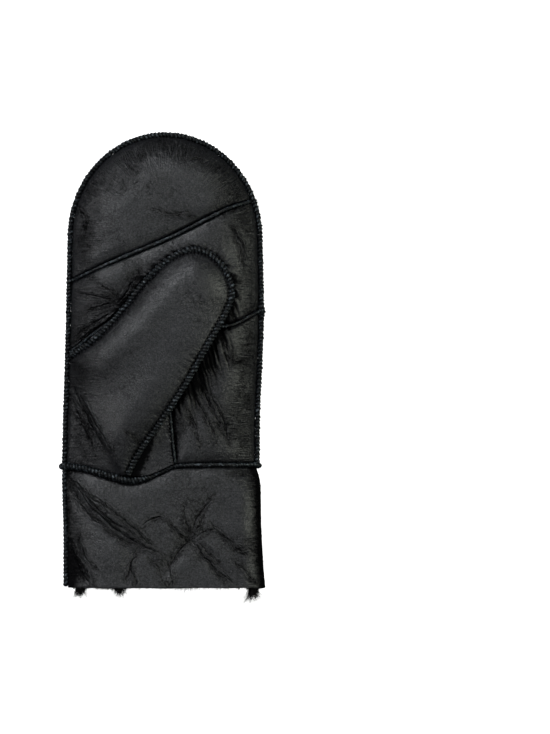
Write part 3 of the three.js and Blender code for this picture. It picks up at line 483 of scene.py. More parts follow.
def top_smooth(x, y, side=None):
    """Palm side without seams: rises from the side seam by dome(distance / roll)."""
    side = from_side(x, y) if side is None else side
    rise = thickness(y) - SEAM_Z
    sewn = EDGE_STEP + (rise - EDGE_STEP) * dome(side / PALM_ROLL, 3)
    left = EDGE_STEP + (rise - EDGE_STEP) * dome((x + half_width(y, "left")) / PALM_ROLL, 3)
    folded = np.where(x < 0, left, rise * fold_round(x, y))
    return SEAM_Z + np.where(y >= CUFF, sewn, mix(sewn, folded, fold_share(y)))


def bottom_smooth(x, y, side=None):
    """Back without seams: falls from the side seam to the table by dome(distance / roll)."""
    side = from_side(x, y) if side is None else side
    sewn = (SEAM_Z - EDGE_STEP) * (1 - dome(side / BACK_ROLL, 2))
    left = (SEAM_Z - EDGE_STEP) * (1 - dome((x + half_width(y, "left")) / BACK_ROLL, 2))
    folded = np.where(x < 0, left, SEAM_Z * (1 - fold_round(x, y)))
    return np.maximum(0, np.where(y >= CUFF, sewn, mix(sewn, folded, fold_share(y))))


def palm_smooth(x, y, side=None):
    """Palm side, dented where the thumb lies on it."""
    side = from_side(x, y) if side is None else side
    dent = THUMB_DENT * smooth((inward(THUMB_PLAN, x, y) + 4) / 12)
    return top_smooth(x, y, side) - dent * ramp(side / PALM_ROLL)


def groove(distance):
    """A seam draws the leather in: GROOVE_DEPTH bell(distance / GROOVE_WIDTH)."""
    return GROOVE_DEPTH * bell(distance / GROOVE_WIDTH)


def noise(x, y, seed):
    """Smooth noise in about -1..1: at each lattice corner (random gradient) . (offset), blended.
    The gradient's angle is a hash of the corner's whole numbers and the seed."""
    x, y = np.asarray(x, float), np.asarray(y, float)
    ix, iy = np.floor(x).astype(np.int64), np.floor(y).astype(np.int64)
    fx, fy = x - ix, y - iy

    def corner(dx, dy):
        h = (ix + dx) * 374761393 + (iy + dy) * 668265263 + seed * 974634777
        h = (h ^ (h >> 13)) * 1274126177 & 0xFFFFFFFF
        angle = (h ^ (h >> 16)) % 4096 * (2 * math.pi / 4096)
        return np.cos(angle) * (fx - dx) + np.sin(angle) * (fy - dy)

    u, v = fx**3 * (fx * (fx * 6 - 15) + 10), fy**3 * (fy * (fy * 6 - 15) + 10)
    low = mix(corner(0, 0), corner(1, 0), u)
    return 1.5 * mix(low, mix(corner(0, 1), corner(1, 1), u), v)


def layered(x, y, seed, octaves=3):
    """Noise plus noise at half the size and half the strength, and so on."""
    total, size = 0, 1.0
    for k in range(octaves):
        total = total + size * noise(x * 2**k + 7.3 * k, y * 2**k - 3.1 * k, seed + k)
        size *= 0.5
    return total


def lines(value, sharp):
    """Thin lines where smooth noise passes zero: (1 - |value|)^sharp."""
    return ramp(1 - np.abs(value)) ** sharp


def puckers(chain, x, y, pitch, reach, depth, seed):
    """Short wrinkles square to a seam that fade with distance: depth * exp(-d / reach) * lines."""
    distance, arc, _ = nearest(chain, x, y)
    bent = arc + 1.6 * noise(x / 9, y / 9, seed + 50)
    value = noise(bent / pitch, distance / (4.5 * pitch), seed)
    fade = np.exp(-distance / (reach * (0.7 + 0.8 * np.abs(noise(arc / 14, 0 * arc, seed + 9)))))
    return depth * fade * (lines(2.2 * value, 2) - 0.4)


def crease_relief(kind, x, y):
    """Grooves along bent lines with raised lips: depth (lip - bell(d / width)), less the dents'
    depth e^(-along^4 - aside^2). Gives the relief, and for the shader the place along and the
    signed distance across the nearest crease, larger towards its ends."""
    wx = x + 0.8 * noise(x / 8, y / 8, 301) + 0.45 * noise(x / 2.4, y / 2.4, 302)
    wy = y + 0.8 * noise(x / 8, y / 8, 303) + 0.45 * noise(x / 2.4, y / 2.4, 304)
    relief, arcs, off = np.zeros(np.shape(x)), np.zeros(np.shape(x)), np.full(np.shape(x), NO_CREASE)
    margin = 8
    for i, row in enumerate(CREASES[kind]):
        chain = smooth_curve(np.array(row[:6]).reshape(3, 2), 13)
        width, depth = 0.72 * row[6], 0.8 * row[7]
        low, high = chain.min(0) - margin, chain.max(0) + margin
        near = (wx > low[0]) & (wx < high[0]) & (wy > low[1]) & (wy < high[1])
        d, arc, hand = nearest(chain, wx[near], wy[near])
        along = arc / chain_length(chain)
        taper = ramp(1.15 - np.abs(2 * along - 1) ** 3)
        lip = 0.45 * bell((d - 2.3 * width) / (1.6 * width))
        relief[near] += depth * taper * (lip - bell(d / width))
        apart = (d + 1.5 * (1 - taper)) * (0.6 / depth) ** 0.5
        closer = apart < np.abs(off[near])
        off[near] = np.where(closer, apart * hand, off[near])
        arcs[near] = np.where(closer, arc + CREASE_PATTERN_STEP * i, arcs[near])
    for cx, cy, turn, reach, width, depth in (row[1:] for row in DENTS if row[0] == kind):
        a = math.radians(turn)
        along = ((x - cx) * math.cos(a) + (y - cy) * math.sin(a)) / reach
        aside = ((y - cy) * math.cos(a) - (x - cx) * math.sin(a)) / width
        relief -= depth * np.exp(-(along**4) - aside**2)
    return relief, arcs, off


# Deep folds of the palm along the thumb's edge, and the fringe of fine lines that runs out
# from them: the edge's arc, and how far out they reach.
POCKETS = {
    "arc": [0, 30, 40, 46, 54, 72, 100, 128, 142, 156, 175, 198, 214, 236],
    "reach": [1.2, 1.6, 3.5, 5, 2.8, 3.2, 2.2, 3.2, 4.4, 5.2, 9.5, 10.5, 6, 2],
}
FRINGE = {"arc": [0, 40, 56, 100, 150, 175, 214, 240], "reach": [2, 4, 9, 9, 7, 14, 13, 3]}


def pocket_fold(x, y):
    """Streaky folds: depth share bell(d / reach), reach drawn out by noise that runs aslant,
    and a fringe of thin dark lines where finer noise of the same slant passes zero."""
    d, arc, _ = nearest(THUMB_RING, x, y)
    slant = np.where(arc < 110, 0.7, np.interp(arc, [110, 150], [0.0, -0.9]))
    reach = np.interp(arc, POCKETS["arc"], POCKETS["reach"])
    bent = arc + slant * d + 1.2 * noise(x / 7, y / 7, 613)
    streak = noise(bent / 2.4, d / 16, 611)
    fold = bell(d / (reach * np.clip(1 + 0.7 * streak, 0.4, 1.8)))
    fringe = lines(3.2 * noise(bent / 1.9, d / 18, 617), 2)
    fringe *= ramp(1.4 * noise(arc / 5, d / 20, 619) + 0.9)
    fringe *= bell(d / np.interp(arc, FRINGE["arc"], FRINGE["reach"]))
    return fold, streak, fringe


def soft_relief(x, y, seed):
    """The leather's own unevenness: broad waves, small swells and a few faint wrinkles."""
    broad = 0.5 * noise(x / 26, y / 26, seed) + 0.16 * noise(x / 8, y / 8, seed + 1)
    fine = 0.05 * layered(x / 2.6, y / 2.6, seed + 2, 2)
    warp = 2 * noise(x / 10, y / 10, seed + 5)
    veins = lines(2.6 * noise((x + warp) / 7, (y - warp) / 10, seed + 3), 6)
    return broad + fine - 0.12 * veins * smooth(noise(x / 20, y / 20, seed + 4) + 0.4)


def roll_wrinkles(x, y, side, seed):
    """Short wrinkles across the rounded edge, lines of noise that is drawn out inwards: strongest
    5 mm in, gone by 20 mm."""
    depth = 0.26
    arc = nearest(OUTLINE, x, y)[1]
    band = smooth(side / 3) * (1 - smooth((side - 6) / 14))
    patch = 0.5 + 0.5 * np.clip(1.6 * noise(arc / 24, side / 12, seed + 1), -1, 1)
    value = noise((arc + 1.2 * noise(x / 5, y / 5, seed + 2)) / 2.3, side / 7, seed)
    return -depth * band * patch * (lines(2.0 * value, 2) - 0.35)


def palm_top(x, y, side=None):
    """Palm side with the deepest of its seams' grooves, which fade out at the side seam."""
    side = from_side(x, y) if side is None else side
    seams = [FINGERTIP_SEAM, MIDDLE_SEAM, CUFF_SEAM, PALM_SEAM]
    dip = np.max([groove(distance_to(s, x, y)) for s in seams], axis=0)
    return palm_smooth(x, y, side) - dip * ramp(side / 8)


# The thumb's rim as rows of x, y, height and lift off the palm.
_edge_z = palm_smooth(_edge[:, 0], _edge[:, 1]) + _edge[:, 2] + THUMB_LIP
_low_z = palm_top(_low[:, 0], _low[:, 1]) + LEATHER / 2
_side_z = np.full(len(_side), SEAM_Z + EDGE_STEP)
THUMB_RIM = np.concatenate(
    [
        np.column_stack([_edge[:, :2], _edge_z, _edge[:, 2]]),
        np.column_stack([_low, _low_z, np.full(len(_low), 3.0)]),
        np.column_stack([_side, _side_z, np.full(len(_side), 3.0)]),
    ]
)


def thumb_top(x, y):
    """The rim's own heights spread inwards, each by 1 / distance^3, and on them a crown,
    (THUMB_HEIGHT - lift) dome(depth / THUMB_ROLL), which is lower near the wrist."""
    shape = np.shape(x)
    fx, fy = np.ravel(x), np.ravel(y)
    spread, lift = np.empty(len(fx)), np.empty(len(fx))
    for low in range(0, len(fx), BLOCK):
        part = slice(low, low + BLOCK)
        dx = fx[part, None] - THUMB_RIM[:, 0]
        dy = fy[part, None] - THUMB_RIM[:, 1]
        weight = 1 / (np.hypot(dx, dy) + 0.05) ** 3
        spread[part] = (weight * THUMB_RIM[:, 2]).sum(1) / weight.sum(1)
        lift[part] = (weight * THUMB_RIM[:, 3]).sum(1) / weight.sum(1)
    depth = inward(THUMB_PLAN, x, y)
    seam = np.interp(x, CUFF_SEAM[:, 0], CUFF_SEAM[:, 1])
    wrist = smooth((y - seam + 4) / (0.25 * HAND))
    crown = THUMB_HEIGHT - lift.reshape(shape)
    return spread.reshape(shape) + crown * dome(depth / THUMB_ROLL, 2.5) * mix(0.35, 1, wrist)


def grid_normals(p):
    """Unit normals of a grid of points, from the cross product of its two directions."""
    return unit(np.cross(np.gradient(p, axis=1), np.gradient(p, axis=0)))


def laid(p, relief):
    """The grid moved along its normals by the relief."""
    return p + grid_normals(p) * relief[..., None]


def skirted(p, depth):
    """The grid with two more rings of points round it that turn in under its edge."""
    n = grid_normals(p)
    for _ in (1, 2):
        padded = np.pad(p, ((1, 1), (1, 1), (0, 0)), mode="edge")
        down = np.pad(n, ((1, 1), (1, 1), (0, 0)), mode="edge")
        ring = np.ones(padded.shape[:2], bool)
        ring[1:-1, 1:-1] = False
        padded[ring] -= down[ring] * depth / 2
        p, n = padded, down
    return p


def leather_marks(x, y, side, chains, pads=2, creases=None, shade=None):
    """For the shader: place along and in from the outline, the nearest seam and crease, and the share of
    painted shade, which stands for the light that deep folds hold back."""
    found = [nearest(chain, x, y) for chain in chains]
    far = np.stack([f[0] for f in found])
    arc = np.stack([f[1] + SEAM_PATTERN_STEP * i for i, f in enumerate(found)])
    k = far.argmin(0)[None]
    marks = {
        "edge_arc": nearest(OUTLINE, x, y)[1],
        "edge_far": side,
        "seam_arc": np.take_along_axis(arc, k, 0)[0],
        "seam_far": np.take_along_axis(far, k, 0)[0],
    }
    marks["crease_arc"], marks["crease_off"] = creases or (0 * x, 0 * x + NO_CREASE)
    marks["crease_far"] = np.abs(marks["crease_off"])
    marks["shade"] = 0 * x if shade is None else shade
    return {m: np.pad(v, pads, mode="edge") for m, v in marks.items()}


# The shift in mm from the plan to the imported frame: the cuff's right edge, hem and underside.
_low_corner, _high_corner = (np.array(c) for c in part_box("cuff"))
SHIFT = np.array(
    [
        _high_corner[0] * 1000 - float(half_width(0.0, "right")),
        _low_corner[1] * 1000,
        _low_corner[2] * 1000,
    ]
)


def quads(rows, columns, around=False):
    """Corner numbers of a grid's quads, closed round its columns if asked."""
    last = columns if around else columns - 1
    i, j = np.meshgrid(np.arange(rows - 1), np.arange(last), indexing="ij")
    right = (j + 1) % columns
    corners = [i * columns + j, i * columns + right, (i + 1) * columns + right, (i + 1) * columns + j]
    return np.stack(corners, -1).reshape(-1, 4)


def make_piece(name, points, faces, material, nodes=(), marks=None):
    """One mesh object from plan points in mm and quads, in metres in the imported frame."""
    mesh = bpy.data.meshes.new(name)
    place = ((points.reshape(-1, 3) + SHIFT) / 1000).astype(np.float32)
    faces = faces.astype(np.int32)
    mesh.vertices.add(len(place))
    mesh.vertices.foreach_set("co", place.ravel())
    mesh.loops.add(faces.size)
    mesh.loops.foreach_set("vertex_index", faces.ravel())
    mesh.polygons.add(len(faces))
    mesh.polygons.foreach_set("loop_start", np.arange(0, faces.size, faces.shape[1], dtype=np.int32))
    mesh.polygons.foreach_set("use_smooth", np.ones(len(faces), bool))
    for mark, values in (marks or {}).items():
        layer = mesh.attributes.new(mark, "FLOAT", "POINT")
        layer.data.foreach_set("value", values.astype(np.float32).ravel())
    mesh.update(calc_edges=True)
    mesh.validate()
    mesh.materials.append(material)
    piece = bpy.data.objects.new(name, mesh)
    bpy.context.scene.collection.objects.link(piece)
    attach(piece, "root")
    if nodes:
        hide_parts(*nodes)
    return piece


def leather_sheet(name, node, p, marks, flip=False):
    """A piece of leather from a grid of points, with its quads turned over if asked."""
    faces = quads(p.shape[0], p.shape[1])
    return make_piece(name, p, faces[:, ::-1] if flip else faces, NAPPA, (node,), marks)


# Materials.
class Shading:
    """A new material. Short calls add a node with its inputs set or linked, and give back one
    output."""

    def __init__(self, name, colour, roughness):
        self.material = bpy.data.materials.new(name)
        self.material.use_nodes = True
        self.material.diffuse_color = (*colour, 1)
        self.nodes, self.links = self.material.node_tree.nodes, self.material.node_tree.links
        self.surface({"Base Color": (*colour, 1), "Roughness": roughness})

    def put(self, node, inputs):
        """Sets the node's inputs to constants, or links them to outputs."""
        for key, value in inputs.items():
            if isinstance(value, bpy.types.NodeSocket):
                self.links.new(value, node.inputs[key])
            else:
                node.inputs[key].default_value = value

    def surface(self, inputs):
        """Sets or links inputs of the surface itself."""
        self.put(self.nodes["Principled BSDF"], inputs)

    def add(self, kind, inputs, out=0, **settings):
        node = self.nodes.new(kind)
        for key, value in settings.items():
            setattr(node, key, value)
        self.put(node, inputs)
        return node.outputs[out]

    def coords(self):
        return self.nodes.new("ShaderNodeTexCoord").outputs["Object"]

    def mark(self, name):
        """One of the piece's own marks."""
        return self.add("ShaderNodeAttribute", {}, "Fac", attribute_name=name)

    def math(self, kind, a, b=0.0):
        return self.add("ShaderNodeMath", {0: a, 1: b}, operation=kind)

    def times(self, a, b):
        return self.math("MULTIPLY", a, b)

    def plus(self, a, b):
        return self.math("ADD", a, b)

    def noise(self, vector, scale, detail=3.0, rough=0.55):
        inputs = {"Vector": vector, "Scale": scale, "Detail": detail, "Roughness": rough}
        return self.add("ShaderNodeTexNoise", inputs, "Fac")

    def warped(self, vector, scale, amount):
        """The vector moved by coloured noise."""
        moved = self.add("ShaderNodeTexNoise", {"Vector": vector, "Scale": scale}, "Color")
        shift = self.add("ShaderNodeVectorMath", {0: moved, "Scale": amount}, operation="SCALE")
        return self.add("ShaderNodeVectorMath", {0: vector, 1: shift}, operation="ADD")

    def span(self, value, low, high, a, b):
        """Maps low..high to a..b, kept within them."""
        inputs = {"Value": value, "From Min": low, "From Max": high, "To Min": a, "To Max": b}
        return self.add("ShaderNodeMapRange", inputs, "Result")

    def place(self, x, y):
        """A point on the surface's own two marks, for a pattern that follows them."""
        return self.add("ShaderNodeCombineXYZ", {"X": x, "Y": y})

    def cracked(self, vector, scale):
        """Distance from the nearest border between scattered cells."""
        inputs = {"Vector": vector, "Scale": scale, "Randomness": 1.0}
        return self.add("ShaderNodeTexVoronoi", inputs, "Distance", feature="DISTANCE_TO_EDGE")

    def bump(self, height, strength, distance):
        """A normal from heights that are measured in the distance, in metres."""
        inputs = {"Height": height, "Strength": strength, "Distance": distance}
        return self.add("ShaderNodeBump", inputs, "Normal")

    def lines(self, vector, scale, width, detail=2.0):
        """1 where noise passes its middle, 0 beyond the width: thin wandering lines."""
        centred = self.math("SUBTRACT", self.noise(vector, scale, detail), 0.5)
        return self.span(self.math("ABSOLUTE", centred), 0.0, width, 1.0, 0.0)

    def blend(self, factor, a, b):
        """From colour a to colour b by the factor."""
        inputs = {0: factor, 6: (*a, 1), 7: (*b, 1)}
        return self.add("ShaderNodeMix", inputs, 2, data_type="RGBA")


def leather_material():
    """Black nappa. Heights are in mm: pebbled grain of 1.7 mm, wrinkles that run in from the outline,
    puckers that run out from the seams, and cracks along the creases. The same lines darken the colour
    and the gloss as painted shade in their hollows, and the shade mark adds painted shade where the
    pieces give it."""
    s = Shading("black_nappa", (0.007, 0.0073, 0.0083), 0.44)
    coords = s.coords()
    patches = s.noise(coords, 34, 4, 0.6)

    # Grain: the borders of small cells and short worm-like lines, stronger in patches.
    grain = s.span(s.cracked(s.warped(coords, 240, 0.002), 600), 0.02, 0.2, 1.0, 0.0)
    worms = s.lines(s.warped(coords, 500, 0.0012), 340, 0.07, 1.0)
    grain = s.math("MAXIMUM", s.times(grain, 0.6), worms)
    grain = s.times(grain, s.span(patches, 0.35, 0.65, 0.55, 1.0))
    pores = s.noise(coords, 1150, 2, 0.6)
    swell = s.noise(coords, 150, 3)

    # Wrinkles of the rounded edge: noise on the outline's arc, drawn out inwards.
    far = s.mark("edge_far")
    rolls = s.place(s.times(s.mark("edge_arc"), 0.6), s.times(far, 0.11))
    rolls = s.lines(s.warped(rolls, 0.5, 0.9), 1.0, 0.2, 1.0)
    band = s.times(s.span(far, 0.5, 4.0, 0.3, 1.0), s.span(far, 9.0, 32.0, 1.0, 0.0))
    band = s.times(band, s.span(patches, 0.4, 0.58, 0.35, 1.0))
    rolls = s.times(rolls, band)

    # Puckers: the same on the arc of the nearest seam.
    seam_far = s.mark("seam_far")
    seam_arc = s.mark("seam_arc")
    pucks = s.place(s.times(seam_arc, 0.45), s.times(seam_far, 0.08))
    pucks = s.lines(s.warped(pucks, 0.5, 0.5), 1.0, 0.14, 1.0)
    pucks = s.times(pucks, s.span(seam_far, 1.0, 9.0, 1.0, 0.0))
    pucks = s.times(pucks, s.span(s.noise(coords, 60, 1), 0.42, 0.6, 0.0, 1.0))

    # Cracks: a crisp line in the crease, and long lines and a web in the worn leather round it. Their
    # darkening below is painted shade.
    off = s.mark("crease_far")
    crisp = s.span(off, 0.14, 0.52, 1.0, 0.0)
    worn_and_shaded = s.span(off, 0.8, 5.0, 1.0, 0.0)
    cracks = s.place(s.times(s.mark("crease_arc"), 0.12), s.times(s.mark("crease_off"), 0.45))
    cracks = s.times(s.lines(s.warped(cracks, 0.8, 0.9), 1.0, 0.1, 2.0), worn_and_shaded)
    web = s.cracked(s.warped(coords, 120, 0.01), 190)
    web = s.times(s.span(web, 0.0, 0.045, 1.0, 0.0), s.times(worn_and_shaded, 0.55))
    cracks = s.math("MAXIMUM", s.math("MAXIMUM", cracks, web), crisp)
    veins = s.lines(s.warped(coords, 90, 0.012), 110, 0.035, 3.0)
    veins = s.times(veins, s.span(patches, 0.48, 0.6, 0.0, 0.8))

    # Small threads cross from the seam over the panel's edge, with holes between them that are darkened
    # as painted shade.
    stitches = s.math("SINE", s.times(seam_arc, 2.6))
    holes = s.times(s.span(stitches, -0.4, 0.5, 1.0, 0.0), s.span(seam_far, 1.1, 1.8, 1.0, 0.0))

    height = s.times(grain, -0.16)
    reliefs = [
        (rolls, -0.42),
        (pucks, -0.22),
        (cracks, -0.3),
        (veins, -0.16),
        (pores, 0.2),
        (swell, 0.4),
        (holes, -0.3),
    ]
    for part, depth in reliefs:
        height = s.plus(height, s.times(part, depth))
    # Painted shade: the hollows of the grain, the lines, the holes and the shade mark darken the colour
    # and lower the gloss.
    dark = s.times(grain, 0.6)
    shares = [
        (rolls, 0.5),
        (pucks, 0.45),
        (cracks, 0.72),
        (veins, 0.4),
        (holes, 0.7),
        (s.mark("shade"), 1.25),
    ]
    for part, share in shares:
        dark = s.plus(dark, s.times(part, share))

    speckle = s.span(pores, 0.34, 0.66, 0.7, 1.35)
    # The leather's own colour, and the near black of its painted shade.
    plain, shaded_colour = (0.0082, 0.0089, 0.0106), (0.0015, 0.0015, 0.0018)
    s.surface(
        {
            "Normal": s.bump(height, 1.0, 0.001),
            "Specular IOR Level": s.times(s.span(dark, 0.0, 1.1, 0.6, 0.03), speckle),
            "Roughness": s.span(s.plus(patches, pores), 0.7, 1.3, 0.37, 0.5),
            "Base Color": s.blend(s.span(dark, 0.0, 0.9, 0.0, 1.0), plain, shaded_colour),
        }
    )
    return s.material


def seam_material():
    """Overcast seam: blue-black waxed thread where the mark is high, raw leather edge elsewhere."""
    s = Shading("overcast_seam", (0.008, 0.011, 0.013), 0.5)
    mark = s.mark("thread")
    coords = s.coords()
    patches = s.noise(coords, 55, 3)
    share = s.times(mark, s.span(patches, 0.38, 0.62, 0.25, 0.9))
    colour = s.blend(share, (0.0018, 0.002, 0.0023), (0.0042, 0.0068, 0.0088))
    # Painted glints: small spots of the colour lifted towards a pale blue-grey, most where the thread
    # lies.
    glints = s.span(s.noise(coords, 700, 2), 0.55, 0.63, 0.0, 1.0)
    glints = s.times(glints, s.span(mark, 0.3, 0.6, 0.15, 1.0))
    glinting = {0: glints, 6: colour, 7: (0.06, 0.074, 0.084, 1)}
    s.surface(
        {
            "Base Color": s.add("ShaderNodeMix", glinting, 2, data_type="RGBA"),
            "Roughness": s.span(mark, 0, 1, 0.6, 0.34),
            "Specular IOR Level": s.span(mark, 0, 1, 0.03, 0.27),
            "Normal": s.bump(s.noise(coords, 3200, 3), 0.8, 0.0002),
        }
    )
    return s.material


def wool_material():
    """Dense black wool: matt, curled at 1.4 mm, with a faint sheen on the fibre tips."""
    s = Shading("black_wool", (0.005, 0.005, 0.0055), 0.9)
    curls = s.noise(s.coords(), 700, 5, 0.7)
    share = s.span(curls, 0.35, 0.7, 0, 1)
    s.surface(
        {
            "Specular IOR Level": 0.15,
            "Sheen Weight": 0.15,
            "Sheen Roughness": 0.5,
            "Base Color": s.blend(share, (0.002, 0.002, 0.002), (0.010, 0.010, 0.011)),
            "Normal": s.bump(curls, 1.0, 0.0012),
        }
    )
    return s.material


def fibre_material():
    """Single wool fibres, black with browner streaks."""
    s = Shading("wool_fibres", (0.003, 0.003, 0.003), 0.7)
    streaks = s.span(s.noise(s.coords(), 1500, 2), 0.4, 0.7, 0, 1)
    colour = s.blend(streaks, (0.0015, 0.0015, 0.0015), (0.007, 0.0065, 0.006))
    s.surface({"Specular IOR Level": 0.1, "Base Color": colour})
    return s.material


NAPPA = leather_material()
SEAM = seam_material()
WOOL = wool_material()
FIBRES = fibre_material()


# Leather panels of the palm side.
def eta(y):
    """Arc-like height: y up to the shoulder, then the angle round the tip times its rise."""
    turn = np.arcsin(np.clip((y - SHOULDER) / TIP_RISE, -1, 1))
    return np.where(y <= SHOULDER, y, SHOULDER + TIP_RISE * turn)


def from_eta(e):
    """The plan height again, from eta."""
    turn = np.clip((e - SHOULDER) / TIP_RISE, 0, math.pi / 2)
    return np.where(e <= SHOULDER, e, SHOULDER + TIP_RISE * np.sin(turn))


def strip_plan(low, high, columns, rows):
    """Plan grid between two heights given as functions of the share across. Its columns are
    closer together near the sides: their shares are the sin of an even turn."""
    s = np.sin(np.linspace(-math.pi / 2, math.pi / 2, columns))
    bottom, top = eta(low(s)), eta(high(s))
    y = from_eta(mix(bottom[None, :], top[None, :], np.linspace(0, 1, rows)[:, None]))
    return edge_x(y, np.broadcast_to(s, y.shape)), y


def moved(height, offset):
    """The seam's height function, moved square to the line by the offset."""

    def shifted(s):
        y = height(s)
        return y + offset * np.hypot(1, np.gradient(y, edge_x(y, s)))

    return shifted


# How far a panel's edge stays from its seam's line.
SEAM_GAP = 0.75


def tip_y(across):
    """The top of the hand, just short of the outline's end."""
    return np.full_like(across, SHOULDER + TIP_RISE - 0.01)


def wrist_y(across):
    """The back's lower edge, a seam's gap above the cuff."""
    return np.full_like(across, CUFF + SEAM_GAP)


def seam_tuck(x, y, seams, side):
    """The last millimetres of a panel turn down into its seam."""
    near = np.min([distance_to(s, x, y) for s in seams], axis=0)
    return 1.6 * bell((near - SEAM_GAP) / 1.1) + 1.0 * bell(side / 1.5)


def palm_panel(name, kind, node, x, y, seams, wrinkles, seed):
    """The palm's height with its edges tucked in, moved along its normals by the leather's
    relief: unevenness, creases, rolls, and folds by the thumb, less puckers, which all fade in over
    the first millimetres from the side. Wrinkles lists seams with the pitch, reach and depth of
    the puckers that run out from them."""
    side = from_side(x, y)
    z = palm_top(x, y, side) - seam_tuck(x, y, seams, side)
    relief = soft_relief(x, y, seed) * np.clip(side / 10, 0.15, 1)
    creased, *creases = crease_relief(kind, x, y)
    relief += creased * ramp(side / 6)
    relief += roll_wrinkles(x, y, side, seed + 11)
    for chain, pitch, reach, depth in wrinkles:
        relief -= puckers(chain, x, y, pitch, reach, depth, seed + 21) * ramp(side / 4)
    fold, streak, fringe = pocket_fold(x, y)
    fold *= ramp(side / 8)
    fringe *= ramp(side / 8)
    relief -= fold * (1.7 + 0.9 * streak) + 0.35 * fringe
    # Painted shade in the deep folds by the thumb and in the fringe of lines round them.
    shade = np.maximum(ramp(1.8 * fold), 0.65 * fringe)
    p = laid(np.stack([x, y, z], -1), relief)
    marks = leather_marks(x, y, side, [w[0] for w in wrinkles], 2, creases, shade)
    return leather_sheet(name, node, skirted(p, 1.6), marks)


x, y = strip_plan(moved(fingertip_y, SEAM_GAP), tip_y, 240, 190)
wrinkles = [(FINGERTIP_SEAM, 2.6, 5.0, 0.3)]
palm_panel("fingertip_leather", "tip", "fingertip_panel", x, y, [FINGERTIP_SEAM], wrinkles, 11)

x, y = strip_plan(moved(middle_y, SEAM_GAP), moved(fingertip_y, -SEAM_GAP), 300, 150)
seams = [FINGERTIP_SEAM, MIDDLE_SEAM]
wrinkles = [(FINGERTIP_SEAM, 2.4, 5.5, 0.4), (THUMB_RING, 2.6, 9.0, 0.5), (MIDDLE_SEAM, 2.6, 5.0, 0.3)]
palm_panel("middle_leather", "middle", "middle_panel", x, y, seams, wrinkles, 37)


def lower_palm_plan(columns, rows):
    """From the palm seam to the right side, between the cuff seam and the middle seam."""
    inner = palm_seam_chain(SEAM_GAP, SEAM_GAP, SEAM_GAP, rows - 1)
    t = np.sin(np.linspace(0, math.pi / 2, columns))
    v = np.linspace(0, 1, rows)
    s_low = inner[0, 0] / float(half_width(inner[0, 1], "right"))
    s_high = inner[-1, 0] / float(half_width(inner[-1, 1], "right"))
    low = moved(cuff_seam_y, SEAM_GAP)(mix(s_low, 1, t))
    high = moved(middle_y, -SEAM_GAP)(mix(s_high, 1, t))
    y = mix(low[None, :], high[None, :], v[:, None])
    left = np.interp(y, inner[:, 1], inner[:, 0])
    return mix(left, half_width(y, "right"), t[None, :]), y


x, y = lower_palm_plan(160, 230)
seams = [MIDDLE_SEAM, CUFF_SEAM, PALM_SEAM]
wrinkles = [
    (MIDDLE_SEAM, 2.6, 5.0, 0.35),
    (THUMB_RING, 2.6, 8.0, 0.5),
    (CUFF_SEAM, 2.8, 4.5, 0.3),
    (PALM_SEAM, 3, 4.0, 0.3),
]
palm_panel("lower_palm_leather", "palm", "lower_palm_panel", x, y, seams, wrinkles, 53)


# The front of the thumb: a patch between four sides of its outline.
def coons(bottom, top, left, right, columns, rows):
    """Blend of four border curves, taken at even arc lengths: the blend up plus the blend across,
    less that of the corners."""
    low, high = respaced(bottom, columns)[None], respaced(top, columns)[None]
    near, far = respaced(left, rows)[:, None], respaced(right, rows)[:, None]
    u, v = np.linspace(0, 1, columns)[None, :, None], np.linspace(0, 1, rows)[:, None, None]
    below = (1 - u) * low[:, :1] + u * low[:, -1:]
    above = (1 - u) * high[:, :1] + u * high[:, -1:]
    return (1 - v) * low + v * high + (1 - u) * near + u * far - ((1 - v) * below + v * above)


def thumb_front():
    """The thumb's height over a patch whose top side is the tip of its edge, steps 205 to 290."""
    edge, low, side = thumb_loop(500)
    edge = edge[:, :2]
    first, last = 205, 290
    left = np.concatenate([low[-1:], side, edge[: first + 1]])
    right = edge[last:][::-1]
    bottom = np.concatenate([low[::-1], edge[-1:]])
    plan = coons(bottom, edge[first : last + 1], left, right, 190, 300)
    x, y = plan[..., 0], plan[..., 1]
    depth = inward(THUMB_PLAN, x, y)
    z = thumb_top(x, y) - 0.8 * bell(depth / 1.3)
    fade = ramp(depth / 6)
    creased, *creases = crease_relief("thumb", x, y)
    relief = 0.8 * soft_relief(x, y, 71) * fade + creased * fade
    relief -= puckers(THUMB_RING, x, y, 2.5, 5.0, 0.34, 83) * ramp(depth / 2.5)
    relief -= puckers(CUFF_SEAM, x, y, 2.6, 5.0, 0.4, 84) * ramp(depth / 2.5)
    p = laid(np.stack([x, y, z], -1), relief)
    # The thumb's base is less wrinkled at the side than the palm.
    unrolled = from_side(x, y) + 4
    marks = leather_marks(x, y, unrolled, [THUMB_RING, CUFF_SEAM], 2, creases)
    return leather_sheet("thumb_leather", "thumb_outer", skirted(p, 1.5), marks)


thumb_front()


